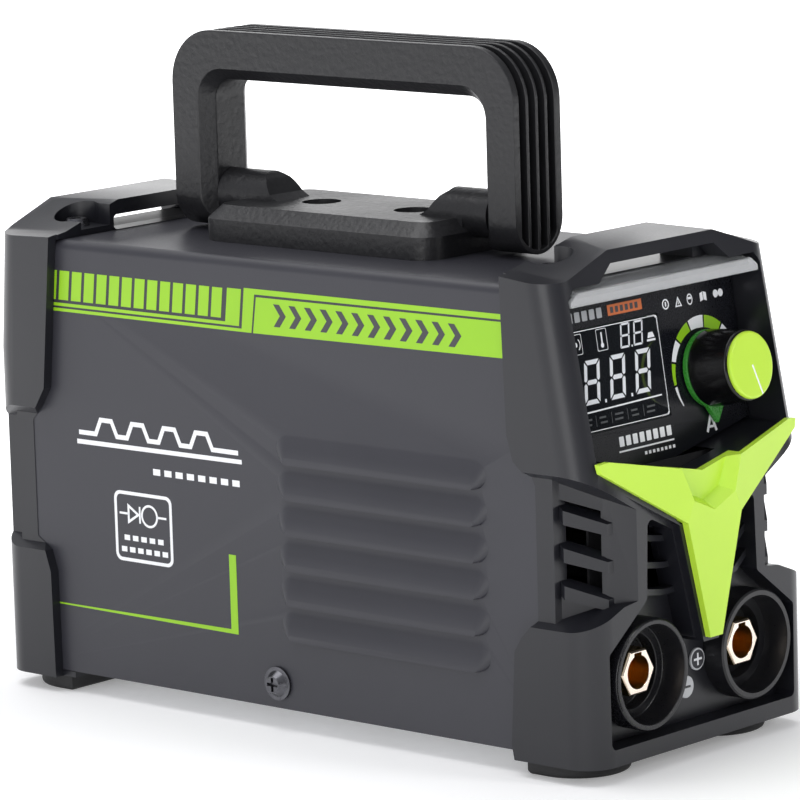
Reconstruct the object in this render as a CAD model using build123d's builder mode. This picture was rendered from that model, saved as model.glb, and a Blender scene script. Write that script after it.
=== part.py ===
import os
from math import cos, radians, sin, tan

from build123d import *

os.makedirs("parts", exist_ok=True)

# Portable stick welding inverter.
# Millimetres. +Z up, the front (sockets and controls) faces -Y, the origin is
# on the ground under the middle of the whole machine.

# ---- driving dimensions -------------------------------------------------
CASE_HALF = 49.0        # half width of the sheet cover
SHEET = 1.2             # sheet-steel thickness
Z_LOW = 7.0             # underside of the sheet cover, equal to the foot height
Z_TOP = 147.0           # top of the sheet cover
EAR_HALF = 52.5         # half width over the moulded bezels
Y_FRONT = -120.9        # flat lower face of the front bezel
Y_REAR = 127.6          # flat lower face of the rear bezel
Y_COVER_F = -104.2      # front edge of the cover in the waist
Y_COVER_R = 119.6       # rear edge of the cover
EAR_F = -89.0           # rear edge of the front ears
EAR_R = 103.6           # front edge of the rear ears
BEZEL_LOW = 5.0         # underside of the bezels
HUMP_TOP = 156.0        # flat top of the central hump
CORNER_R = 10.0         # vertical corner radius of the bezels
LEAN = 11.0             # backward lean of the upper front, degrees
PANEL_TILT = 8.5        # tilt of the control panel, degrees
PANEL_Y = -98.2         # panel face at PANEL_Z
PANEL_Z = 134.5
KNOB_X, KNOB_Z = 27.3, 112.5
SOCKET_X, SOCKET_Z = 25.0, 29.9
COLLAR_R, COLLAR_BORE = 16.9, 14.6
SOCKET_BORE_R = 5.0
PIVOT_Z = 159.0         # handle fold axis, along Y
GRIP_Y0, GRIP_Y1 = -60.6, 82.2
GRIP_T = 14.8           # leg thickness in the grip's own plane
GRIP_TT = 15.8          # top bar thickness
GRIP_HALF = 11.1        # half width of the grip
GRIP_TOP = 211.5
PIN_R = 3.0
PLATE_Y0, PLATE_Y1 = -37.4, 59.0
FAN = 80.0
FAN_Z = 54.0
FAN_Y0, FAN_Y1 = 89.0, 113.4
REAR_PANEL_Y = 117.0    # outer face of the rear panel
ROCKER_X, ROCKER_Z = -20.0, 118.0
GLAND_X, GLAND_Z = 22.0, 118.0

tp = tan(radians(PANEL_TILT))


def panel_y(z):
    """y of the control panel face at height z"""
    return PANEL_Y - (PANEL_Z - z) * tp


def panel_plane(x, z, lift=0.0):
    """plane on the control panel: local x is +X, local y up the panel"""
    t = radians(PANEL_TILT)
    return Plane(
        origin=(x, panel_y(z) - lift * cos(t), z + lift * sin(t)),
        x_dir=(1, 0, 0),
        z_dir=(0, -cos(t), sin(t)),
    )


def finish(p, name):
    p.part.label = name
    export_step(p.part, f"parts/{name}.step")


# =========================================================================
# sheet cover: folded U with six louvres on each side
# =========================================================================
LOUVRE_Z = [85.0 - 11.1 * i for i in range(6)]
LOUVRE_Y, LOUVRE_L = -36.4, 86.0

with BuildPart() as sheet_cover:
    with BuildSketch(Plane.XZ.offset(-Y_COVER_R)):
        with Locations((0, (Z_LOW + Z_TOP) / 2 + 5)):
            RectangleRounded(2 * CASE_HALF, Z_TOP - Z_LOW + 10 - 20, 3.0)
        with Locations((0, Z_LOW + 40)):
            Rectangle(2 * CASE_HALF, 80)
        with Locations((0, Z_TOP - 40)):
            RectangleRounded(2 * CASE_HALF, 80, 3.0)
        with Locations((0, Z_LOW + 40)):
            Rectangle(2 * (CASE_HALF - SHEET), 80, mode=Mode.SUBTRACT)
        with Locations((0, Z_TOP - SHEET - 40)):
            RectangleRounded(2 * (CASE_HALF - SHEET), 80, 0.9, mode=Mode.SUBTRACT)
        with Locations((0, 80)):
            Rectangle(2 * (CASE_HALF - SHEET), 60, mode=Mode.SUBTRACT)
    extrude(amount=Y_COVER_R - Y_COVER_F)
    # the cover is cut back under the upper front moulding
    with BuildSketch(Plane.YZ):
        with Locations((-104.2 - 5, 130)):
            Rectangle(2 * (104.2 + 5 - 93.0), 60)
    extrude(amount=60, both=True, mode=Mode.SUBTRACT)
    # louvres: pressed scoops that open downwards
    for side in (1, -1):
        for lz in LOUVRE_Z:
            outer = Plane(origin=(side * (CASE_HALF - 0.4), LOUVRE_Y, lz),
                          x_dir=(0, 1, 0), z_dir=(side, 0, 0))
            k = 1 if side == 1 else -1
            # flush at the top, swelling to a lip along the lower edge
            for out, top, short in ((0.0, 10.6, 0.0), (0.7, 8.0, 2.0), (1.6, 5.0, 5.0), (2.6, 2.0, 9.0)):
                with BuildSketch(outer.offset(out)):
                    with Locations((0, k * (top - 0.3) / 2)):
                        SlotOverall(LOUVRE_L - short, top + 0.3)
            loft(ruled=True)
            # air gap behind the lip, open downwards
            with Locations((side * 48.8, LOUVRE_Y, lz + 0.55)):
                Box(3.2, LOUVRE_L - 14, 1.8, mode=Mode.SUBTRACT)
    # holes for the side screws and the handle screws
    with Locations(Location((0, 8.4, 14.9), (0, 90, 0))):
        Cylinder(2.1, 120, mode=Mode.SUBTRACT)
    with Locations((0, 29.1, Z_TOP - 1), (0, -9.5, Z_TOP - 1)):
        Cylinder(2.1, 8, mode=Mode.SUBTRACT)
    with Locations((-32, -91.5, Z_TOP), (32, -91.5, Z_TOP), (-32, 106.5, Z_TOP), (32, 106.5, Z_TOP)):
        Cylinder(2.0, 8, mode=Mode.SUBTRACT)
finish(sheet_cover, "sheet_cover")

# base tray: folded sheet with side flanges
with BuildPart() as base_tray:
    with BuildSketch(Plane.XZ.offset(-114.3)):
        with Locations((0, Z_LOW + 0.2 + 7)):
            Rectangle(95.2, 14)
        with Locations((0, Z_LOW + 1.4 + 10)):
            Rectangle(95.2 - 2.4, 20, mode=Mode.SUBTRACT)
    extrude(amount=114.3 + 104.0)
    with Locations(Location((0, 8.4, 14.9), (0, 90, 0))):
        Cylinder(1.7, 120, mode=Mode.SUBTRACT)
    with GridLocations(64.8, 203.6, 2, 2):
        with Locations((0, 5.0, Z_LOW)):
            Cylinder(2.6, 10, mode=Mode.SUBTRACT)
finish(base_tray, "base_tray")


# =========================================================================
# front bezel
# =========================================================================
def crown(half, hump, shoulder):
    """front-view outline of a bezel, with hump and shoulders"""
    return [
        (-EAR_HALF, BEZEL_LOW), (EAR_HALF, BEZEL_LOW),
        (EAR_HALF, shoulder - 1.0), (45.5, shoulder),
        (half, hump), (-half, hump),
        (-45.5, shoulder), (-EAR_HALF, shoulder - 1.0),
    ]


# region removed by the waist between the upper and lower ears
WAIST = [(-70, 38.5), (-52.5, 46.3), (-37.0, 52.3), (-29.6, 53.2), (-29.6, 80.0),
         (-37.0, 84.0), (-52.5, 92.6), (-70, 92.6)]
with BuildPart() as waist_cut:
    with BuildSketch(Plane.XZ.offset(80)):
        with BuildLine():
            Polyline(*WAIST, close=True)
        make_face()
        mirror(about=Plane.YZ)
    extrude(amount=50)
    with BuildSketch(Plane.XY):
        with BuildLine():
            Polyline((-70, -80), (-49.2, -80), (-49.2, -104.6), (-46.6, -105.0),
                     (-37.2, -113.6), (-36.6, -114.8), (-30.0, -121.4), (-30.0, -131),
                     (-70, -131), close=True)
        make_face()
        mirror(about=Plane.YZ)
    extrude(amount=200, mode=Mode.INTERSECT)

# side outline of the ears: rear edges and their chamfers
with BuildPart() as ear_trim:
    with BuildSketch(Plane.YZ):
        with BuildLine():
            Polyline((-70, 170), (-88.6, 157), (-90.2, 103), (-92.4, 95.4),
                     (-96.0, 92.4), (-98.0, 88), (-98.0, 50), (-97.8, 46.6), (-94.0, 42.6),
                     (-91.2, 38.2), (-89.2, 9.6), (-90.6, 2), (-70, 0), close=True)
        make_face()
    extrude(amount=70, both=True)
    with Locations((0, -80, 80)):
        Box(2 * CASE_HALF + 0.3, 80, 260, mode=Mode.SUBTRACT)

with BuildPart() as front_bezel:
    # plan outline with rounded front corners
    with BuildSketch(Plane.XY.offset(BEZEL_LOW)):
        with Locations((0, (EAR_F + 1.2 + Y_FRONT) / 2)):
            Rectangle(2 * EAR_HALF, EAR_F + 1.2 - Y_FRONT)
    extrude(amount=HUMP_TOP + 6 - BEZEL_LOW)
    # the crown falls slightly towards the front
    with BuildSketch(Plane.XZ.offset(80)):
        with BuildLine():
            Polyline(*crown(14.6, HUMP_TOP + 2.2, 152.1), close=True)
        make_face()
    with BuildSketch(Plane.XZ.offset(130)):
        with BuildLine():
            Polyline(*crown(33.5, HUMP_TOP - 2.1, 146.8), close=True)
        make_face()
    loft(mode=Mode.INTERSECT)
    # backward lean of the upper front
    with BuildSketch(Plane.YZ):
        with BuildLine():
            Polyline((Y_FRONT, 86.0), (Y_FRONT + 79 * tan(radians(LEAN)), 165.0),
                     (-140, 165.0), (-140, 86.0), close=True)
        make_face()
    extrude(amount=70, both=True, mode=Mode.SUBTRACT)
    # rounded corners that follow the lean
    corner = [e for e in front_bezel.edges()
              if abs(abs(e.center().X) - EAR_HALF) < 0.3 and e.center().Y < -105 and e.bounding_box().size.Z > 30]
    fillet(corner, CORNER_R)
    # ears
    add(ear_trim.part, mode=Mode.SUBTRACT)
    # waist between the ears
    add(waist_cut.part, mode=Mode.SUBTRACT)
    # space for the cover and the inside, behind the front walls
    with BuildSketch(Plane.XY.offset(BEZEL_LOW + 1.9)):
        with BuildLine():
            Polyline((-49.15, -70), (-49.15, -104.4), (-44.6, -104.4), (-33.6, -111.4),
                     (33.6, -111.4), (44.6, -104.4), (49.15, -104.4), (49.15, -70), close=True)
        make_face()
    extrude(amount=90 - BEZEL_LOW - 1.9, mode=Mode.SUBTRACT)
    # upper inside, up to the back of the panel wall
    with BuildSketch(Plane.YZ):
        with BuildLine():
            Polyline((-70, 89.0), (panel_y(89) + 2.6, 89.0), (panel_y(143.6) + 2.6, 143.6),
                     (-93.6, 143.6), (-93.6, 147.15), (-70, 147.15), close=True)
        make_face()
    extrude(amount=47.2, both=True, mode=Mode.SUBTRACT)
    with BuildSketch(Plane.YZ):
        with BuildLine():
            Polyline((-70, 89.0), (-93.6, 89.0), (-93.6, 147.15), (-70, 147.15), close=True)
        make_face()
    extrude(amount=49.15, both=True, mode=Mode.SUBTRACT)
    # slots for the cover's front edges beside the panel wall
    with Locations((48.3, -99, 95), (-48.3, -99, 95)):
        Box(1.7, 11.2, 11.4, mode=Mode.SUBTRACT)
    # control panel recess
    with BuildSketch(Plane.YZ):
        with BuildLine():
            Polyline((panel_y(80), 80.0), (panel_y(153), 153.0), (-150, 153.0), (-150, 80.0), close=True)
        make_face()
    recess = extrude(amount=60, both=True, mode=Mode.PRIVATE)
    with BuildSketch(Plane.XZ.offset(80)) as recess_outline:
        with BuildLine():
            Polyline((0, 86.4), (45.4, 94.9), (45.4, 143.8), (42.6, 146.8),
                     (-42.6, 146.8), (-45.4, 143.8), (-45.4, 94.9), close=True)
        make_face()
    recess_prism = extrude(recess_outline.sketch, amount=50, mode=Mode.PRIVATE)
    add(recess_prism & recess, mode=Mode.SUBTRACT)
    # strap slot through the hump, open to the panel recess in front
    with BuildSketch(Plane.XZ.offset(70)):
        with BuildLine():
            Polyline((-23.8, 147.2), (23.8, 147.2), (23.8, 151.9), (-23.8, 151.9), close=True)
        make_face()
    extrude(amount=60, mode=Mode.SUBTRACT)
    with BuildSketch(Plane.XZ.offset(100.5)):
        with BuildLine():
            Polyline((-33.2, 145.0), (33.2, 145.0), (24.4, 151.9), (-24.4, 151.9), close=True)
        make_face()
    extrude(amount=30, mode=Mode.SUBTRACT)
    # pockets of the shoulder screws, open towards the cover
    with Locations((-32, -91.5, 153.6), (32, -91.5, 153.6)):
        Cylinder(6.9, 9.2, mode=Mode.SUBTRACT)
    with Locations((-32, -86, 153.6), (32, -86, 153.6)):
        Box(12.4, 11, 9.2, mode=Mode.SUBTRACT)
    # socket bay
    with BuildSketch(Plane.XZ.offset(113.9)):
        with BuildLine():
            FilletPolyline((0, 10.2), (43.9, 10.2), (44.2, 39.2), (26.4, 52.6),
                           (25.4, 77.4), (14.2, 72.0), (4.6, 37.0), (0, 37.0), radius=2.0)
            Line((0, 37.0), (0, 10.2))
        make_face()
        mirror(about=Plane.YZ)
    extrude(amount=20, mode=Mode.SUBTRACT)
    # grille openings, through to the inside, each side of the trim's rib
    with BuildSketch(Plane.XZ.offset(105)):
        with BuildLine():
            Polyline((24.6, 51.8), (25.2, 76.8), (14.2, 71.6), (8.6, 51.8), close=True)
        make_face()
        mirror(about=Plane.YZ)
    extrude(amount=12, mode=Mode.SUBTRACT)
    # side vents behind the fins
    with BuildSketch(Plane.YZ.offset(30)):
        with BuildLine():
            Polyline((-104.9, 84.5), (-104.9, 55.5), (-113.2, 54.5), (-113.2, 80.5), close=True)
        make_face()
    extrude(amount=22, mode=Mode.SUBTRACT)
    with BuildSketch(Plane.YZ.offset(-30)):
        with BuildLine():
            Polyline((-104.9, 84.5), (-104.9, 55.5), (-113.2, 54.5), (-113.2, 80.5), close=True)
        make_face()
    extrude(amount=-22, mode=Mode.SUBTRACT)
    # holes for the socket bodies
    with Locations(Location((-SOCKET_X, -112, SOCKET_Z), (90, 0, 0)),
                   Location((SOCKET_X, -112, SOCKET_Z), (90, 0, 0))):
        Cylinder(14.9, 10, mode=Mode.SUBTRACT)
    # hole for the potentiometer bush
    with BuildSketch(panel_plane(KNOB_X, KNOB_Z, -4)):
        Circle(3.6)
    extrude(amount=8, mode=Mode.SUBTRACT)
    # window for the display module
    with BuildSketch(panel_plane(-15.5, 116.5, -4)):
        Rectangle(46, 30)
    extrude(amount=8, mode=Mode.SUBTRACT)

# three sloping fins in each side vent
with BuildPart() as fins:
    with BuildSketch(Plane.YZ.offset(33)):
        for fz in (82.0, 70.7, 59.4):
            with BuildLine():
                Polyline((-102.6, fz + 2.0), (-102.6, fz - 1.6), (-106.4, fz - 4.4),
                         (-116.0, fz - 8.6), (-116.0, fz - 5.2), close=True)
            make_face()
    extrude(amount=18)
    with BuildSketch(Plane.XY):
        with BuildLine():
            Polyline((46.9, -105.1), (47.8, -107.2), (36.9, -117.2), (33.4, -113.6), (42.6, -104.9), close=True)
        make_face()
    extrude(amount=150, mode=Mode.INTERSECT)

# three sagging bars in each grille opening
with BuildPart() as bars:
    with BuildSketch(Plane.XZ.offset(112.6)):
        for bz in (69.6, 61.4, 53.2):
            with BuildLine():
                Polyline((27.6, bz + 4.2), (21.6, bz - 0.6), (14.0, bz - 1.8), (3.5, bz - 1.8),
                         (3.5, bz), (13.6, bz), (20.6, bz + 1.1), (27.6, bz + 6.6), close=True)
            make_face()
    extrude(amount=4.2)
    with BuildSketch(Plane.XZ.offset(105)):
        with BuildLine():
            Polyline((26.6, 49.0), (26.6, 78.0), (12.4, 78.0), (12.4, 66.0), (5.6, 40.6), (26.6, 40.6), close=True)
        make_face()
    extrude(amount=20, mode=Mode.INTERSECT)

# the Y-shaped trim's faces
def face_plane(p1, p2, p3):
    """plane through three points, its normal towards -Y"""
    a, b, c = Vector(*p1), Vector(*p2), Vector(*p3)
    n = (b - a).cross(c - a).normalized()
    if n.Y > 0:
        n = n * -1
    return Plane(origin=a, z_dir=n)


TIP_HI, TIP_LO = (46.9, 96.2), (46.2, 93.4)
KNEE = (12.8, 73.9)
ARM_FACE = face_plane((46.7, -120.9, 95.0), (12.8, -126.2, 73.9), (9.9, -126.3, 80.1))
LEG_FACE = face_plane((12.8, -126.2, 73.9), (-12.8, -126.2, 73.9), (0, -125.9, 37.6))

# rib that carries the trim, standing in the middle of the lower face
with BuildPart() as rib_arm:
    with BuildSketch(Plane.XZ.offset(111.0)):
        with BuildLine():
            Polyline((0, 73.3), (14.1, 73.3), (46.0, 91.2), (45.4, 94.7), (0, 86.4), close=True)
        make_face()
    extrude(amount=20)
    split(bisect_by=ARM_FACE.offset(-1.85), keep=Keep.BOTTOM)
    # seat of the trim's thick middle
    with BuildSketch(Plane.XZ.offset(119.15)):
        with BuildLine():
            Polyline((-1, 73.3), (13.4, 73.3), (15.65, 75.0), (15.65, 99), (-1, 99), close=True)
        make_face()
    extrude(amount=14, mode=Mode.SUBTRACT)
with BuildPart() as rib:
    add(rib_arm.part)
    add(mirror(rib_arm.part, about=Plane.YZ, mode=Mode.PRIVATE))
    with BuildSketch(Plane.XZ.offset(111.0)):
        with BuildLine():
            Polyline((0, 36.2), (3.6, 36.2), (14.1, 73.3), (0, 73.3), close=True)
        make_face()
        mirror(about=Plane.YZ)
    extrude(amount=12.8)
    add(recess_prism & recess, mode=Mode.SUBTRACT)

# space of the trim's arms in front of the rib
with BuildPart() as seat:
    with BuildSketch(Plane.XZ.offset(111.0)):
        with BuildLine():
            Polyline((0, 73.35), (13.2, 73.35), (46.7, 93.1), (47.5, 96.8), (0, 90.0), close=True)
        make_face()
    extrude(amount=20)
    split(bisect_by=ARM_FACE.offset(-1.85), keep=Keep.TOP)

with BuildPart() as front_bezel_full:
    add(front_bezel.part)
    add(fins.part)
    add(mirror(fins.part, about=Plane.YZ, mode=Mode.PRIVATE))
    add(bars.part)
    add(mirror(bars.part, about=Plane.YZ, mode=Mode.PRIVATE))
    add(rib.part)
    # seat of the trim's arms
    add(seat.part, mode=Mode.SUBTRACT)
    add(mirror(seat.part, about=Plane.YZ, mode=Mode.PRIVATE), mode=Mode.SUBTRACT)
    # seat of the trim's thick middle
    with BuildSketch(Plane.XZ.offset(119.15)):
        with BuildLine():
            Polyline((0, 73.3), (13.4, 73.3), (15.65, 75.0), (15.65, 99), (0, 99), close=True)
        make_face()
        mirror(about=Plane.YZ)
    extrude(amount=14, mode=Mode.SUBTRACT)
    # screw holes under the shoulder pockets
    with Locations((-32, -91.5, 147), (32, -91.5, 147)):
        Cylinder(1.7, 12, mode=Mode.SUBTRACT)
    # foot screw holes
    with Locations((-32.4, -96.8, 5), (32.4, -96.8, 5)):
        Cylinder(2.6, 10, mode=Mode.SUBTRACT)
finish(front_bezel_full, "front_bezel")

# dark filter sheet behind the front grille
with BuildPart() as dust_filter:
    with Locations((0, -106.5, 67.5)):
        Box(72.0, 0.8, 43.0)
finish(dust_filter, "dust_filter")

# =========================================================================
# green Y-shaped trim
# =========================================================================


with BuildPart() as trim_arm:
    with BuildSketch(Plane.XZ.offset(119.2)):
        with BuildLine():
            Polyline((0, 87.6), (43.0, 96.6), TIP_HI, TIP_LO, KNEE, (9.9, 80.1), (0, 80.1), close=True)
        make_face()
    extrude(amount=7.9)
    with BuildSketch(Plane.XZ.offset(117.0)):
        with BuildLine():
            Polyline((15.6, 75.6), TIP_LO, TIP_HI, (43.0, 96.6), (15.6, 90.9), close=True)
        make_face()
    extrude(amount=4)
    split(bisect_by=ARM_FACE, keep=Keep.BOTTOM)
    # outside the middle the arm is a thin moulding
    with BuildSketch(Plane.XZ.offset(110)):
        with BuildLine():
            Polyline((15.6, 60), (60, 60), (60, 110), (15.6, 110), close=True)
        make_face()
    thin = extrude(amount=25, mode=Mode.PRIVATE)
    add(split(thin, bisect_by=ARM_FACE.offset(-1.8), keep=Keep.BOTTOM, mode=Mode.PRIVATE), mode=Mode.SUBTRACT)
with BuildPart() as trim_leg:
    with BuildSketch(Plane.XZ.offset(123.9)):
        with BuildLine():
            Polyline((0, 80.1), (9.9, 80.1), KNEE, (2.9, 37.6), (0, 37.6), close=True)
        make_face()
    extrude(amount=6)
    with BuildSketch(Plane.XZ.offset(119.2)):
        with BuildLine():
            Polyline((0, 80.1), (9.9, 80.1), KNEE, (0, 73.9), close=True)
        make_face()
    extrude(amount=8)
    split(bisect_by=LEG_FACE, keep=Keep.BOTTOM)

with BuildPart() as v_trim:
    add(trim_arm.part)
    add(trim_leg.part)
    add(mirror(trim_arm.part, about=Plane.YZ, mode=Mode.PRIVATE))
    add(mirror(trim_leg.part, about=Plane.YZ, mode=Mode.PRIVATE))
    # faceted pocket in the middle
    with BuildSketch(Plane.XZ.offset(121.6)):
        with BuildLine():
            Polyline((0, 78.6), (7.6, 81.8), (11.6, 90.5), (11.6, 93.0), (-11.6, 93.0), (-11.6, 90.5), (-7.6, 81.8), close=True)
        make_face()
    with BuildSketch(Plane.XZ.offset(127.2)):
        with BuildLine():
            Polyline((0, 75.6), (10.2, 79.9), (15.4, 90.2), (15.4, 96.0), (-15.4, 96.0), (-15.4, 90.2), (-10.2, 79.9), close=True)
        make_face()
    loft(mode=Mode.SUBTRACT)
finish(v_trim, "v_trim")

# =========================================================================
# control panel parts
# =========================================================================
with BuildPart() as panel_overlay:
    with BuildSketch(panel_plane(0, 116.5)):
        with BuildLine():
            Polyline((0, -29.4), (45.1, -21.0), (45.1, 27.2), (-45.1, 27.2), (-45.1, -21.0), close=True)
        make_face()
        with Locations((-15.5, 0)):
            Rectangle(47.2, 31.2, mode=Mode.SUBTRACT)
        with Locations((KNOB_X, (KNOB_Z - 116.5) / cos(radians(PANEL_TILT)))):
            Circle(3.6, mode=Mode.SUBTRACT)
    extrude(amount=0.6)
finish(panel_overlay, "panel_overlay")

with BuildPart() as display_window:
    with BuildSketch(panel_plane(-15.5, 116.5, 0.0)):
        Rectangle(47.0, 31.0)
    extrude(amount=0.8)
finish(display_window, "display_window")

with BuildPart() as display_module:
    with BuildSketch(panel_plane(-15.5, 116.5, -0.2)):
        Rectangle(45.6, 29.6)
    extrude(amount=-6.0)
finish(display_module, "display_module")

with BuildPart() as control_board:
    with BuildSketch(panel_plane(0, 116.5, -16.4)):
        Rectangle(84, 46)
        with Locations((-36, 19), (36, 19), (-36, -19), (36, -19)):
            Circle(1.6, mode=Mode.SUBTRACT)
    extrude(amount=-1.6)
    with BuildSketch(panel_plane(0, 116.5, -6.4)):
        with Locations((-15.5, 0)):
            RectangleRounded(38, 8, 1)
    extrude(amount=-10.0)
finish(control_board, "control_board")

with BuildPart() as clear_visor:
    # front lip
    with BuildSketch(Plane.XZ.offset(107.9)):
        with BuildLine():
            Polyline((-44.3, 141.1), (44.3, 141.1), (44.3, 142.9), (41.0, 145.4), (-41.0, 145.4),
                     (-44.3, 142.9), close=True)
        make_face()
    extrude(amount=1.6)
    # roof running back into the recess
    with BuildSketch(Plane.YZ):
        with BuildLine():
            Polyline((-107.9, 143.6), (-98.4, 145.2), (-98.4, 146.7), (-104.0, 146.7), (-107.9, 145.4), close=True)
        make_face()
    extrude(amount=40.6, both=True)
finish(clear_visor, "clear_visor")

# current knob: black body, lime cap and green skirt with pointer, D-shaft inside
with BuildPart() as knob_skirt:
    with BuildSketch(panel_plane(KNOB_X, KNOB_Z, 1.0)):
        Circle(11.8)
        with Locations(Rotation(0, 0, 13)):
            with BuildLine():
                Polyline((-4.4, -10.6), (0, -16.8), (4.4, -10.6), close=True)
            make_face()
        Circle(3.3, mode=Mode.SUBTRACT)
    extrude(amount=1.8)
finish(knob_skirt, "knob_skirt")

with BuildPart() as knob_body:
    with BuildSketch(panel_plane(KNOB_X, KNOB_Z, 2.8)):
        Circle(11.9)
    with BuildSketch(panel_plane(KNOB_X, KNOB_Z, 17.0)):
        Circle(10.9)
    loft()
    with BuildSketch(panel_plane(KNOB_X, KNOB_Z, 2.8)):
        Circle(3.0)
    extrude(amount=11.0, mode=Mode.SUBTRACT)
finish(knob_body, "knob_body")

with BuildPart() as knob_cap:
    with BuildSketch(panel_plane(KNOB_X, KNOB_Z, 17.0)):
        Circle(10.3)
    extrude(amount=1.5)
    chamfer(knob_cap.faces().sort_by(Axis.Y)[0].edges(), 0.5)
finish(knob_cap, "knob_cap")

with BuildPart() as knob_shaft:
    with BuildSketch(panel_plane(KNOB_X, KNOB_Z, -8.0)):
        Circle(3.0)
    extrude(amount=21.6)
finish(knob_shaft, "knob_shaft")

with BuildPart() as potentiometer:
    with BuildSketch(panel_plane(KNOB_X, KNOB_Z, -3.0)):
        Circle(8.4)
    extrude(amount=-8.0)
    with BuildSketch(panel_plane(KNOB_X, KNOB_Z, -3.0)):
        Circle(3.5)
    extrude(amount=3.4)
    with BuildSketch(panel_plane(KNOB_X, KNOB_Z, -8.2)):
        Circle(3.06)
    extrude(amount=10, mode=Mode.SUBTRACT)
    with BuildSketch(panel_plane(KNOB_X, KNOB_Z - 9.5, -11.0)):
        with GridLocations(4, 1, 3, 1):
            Rectangle(1.2, 6)
    extrude(amount=-5.2)
finish(potentiometer, "potentiometer")

# =========================================================================
# output sockets
# =========================================================================
for name, sx in (("minus", -SOCKET_X), ("plus", SOCKET_X)):
    at = Plane(origin=(sx, 0, SOCKET_Z), x_dir=(1, 0, 0), z_dir=(0, -1, 0))
    with BuildPart() as socket_collar:
        with BuildSketch(at.offset(113.95)):
            Circle(COLLAR_R)
        extrude(amount=7.65)
        with BuildSketch(at.offset(98.0)):
            Circle(14.8)
        extrude(amount=16.0)
        # stepped bore round the brass insert
        with BuildSketch(at.offset(113.4)):
            Circle(COLLAR_BORE - 0.3)
        with BuildSketch(at.offset(121.7)):
            Circle(COLLAR_BORE + 0.4)
        loft(mode=Mode.SUBTRACT)
        with BuildSketch(at.offset(97)):
            RegularPolygon(7.85, 6)
        extrude(amount=20, mode=Mode.SUBTRACT)
        with BuildSketch(at.offset(109.0)):
            Circle(11.4)
        extrude(amount=8, mode=Mode.SUBTRACT)
        chamfer(socket_collar.faces().sort_by(Axis.Y)[0].edges().sort_by(SortBy.LENGTH)[-1], 0.5)
    finish(socket_collar, f"socket_collar_{name}")

    with BuildPart() as socket_insert:
        with BuildSketch(at.offset(97.5)):
            RegularPolygon(7.8, 6)
        extrude(amount=18.4)
        chamfer(socket_insert.faces().sort_by(Axis.Y)[0].edges(), 0.5)
        with BuildSketch(at.offset(82.0)):
            Circle(5.0)
        extrude(amount=15.6)
        with BuildSketch(at.offset(99.5)):
            Circle(SOCKET_BORE_R)
            with Locations((0, 4.3)):
                Rectangle(3.4, 3.0)
        extrude(amount=20, mode=Mode.SUBTRACT)
    finish(socket_insert, f"socket_insert_{name}")

with BuildPart() as socket_nuts:
    for sx in (-SOCKET_X, SOCKET_X):
        at = Plane(origin=(sx, 0, SOCKET_Z), x_dir=(1, 0, 0), z_dir=(0, -1, 0))
        with BuildSketch(at.offset(84.0)):
            RegularPolygon(9.2, 6)
            Circle(5.05, mode=Mode.SUBTRACT)
        extrude(amount=5.0)
finish(socket_nuts, "socket_nuts")

with BuildPart() as polarity_discs:
    with BuildSketch(Plane.XZ.offset(113.9)):
        with Locations((-0.9, 20.6), (4.6, 28.2)):
            Circle(3.4)
    extrude(amount=0.8)
finish(polarity_discs, "polarity_discs")

# =========================================================================
# rear bezel
# =========================================================================
with BuildPart() as rear_waist:
    with BuildSketch(Plane.XZ.offset(-135)):
        with BuildLine():
            Polyline((-70, 38.5), (-52.5, 46.3), (-46.5, 49.5), (-46.5, 88.0),
                     (-52.5, 92.6), (-70, 92.6), close=True)
        make_face()
        mirror(about=Plane.YZ)
    extrude(amount=60)
    with BuildSketch(Plane.XY):
        with BuildLine():
            Polyline((-70, 90), (-49.2, 90), (-49.2, 119.9), (-46.4, 122.4),
                     (-46.4, 135), (-70, 135), close=True)
        make_face()
        mirror(about=Plane.YZ)
    extrude(amount=200, mode=Mode.INTERSECT)

with BuildPart() as rear_ear_trim:
    with BuildSketch(Plane.YZ):
        with BuildLine():
            Polyline((80, 170), (98.0, 157), (103.4, 103), (103.8, 99.2), (108.2, 92.4),
                     (112.5, 88), (112.5, 50), (106.2, 46.3), (104.0, 39.5), (103.6, 4), (80, 0), close=True)
        make_face()
    extrude(amount=70, both=True)
    with Locations((0, 90, 80)):
        Box(2 * CASE_HALF + 0.3, 80, 260, mode=Mode.SUBTRACT)

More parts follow.
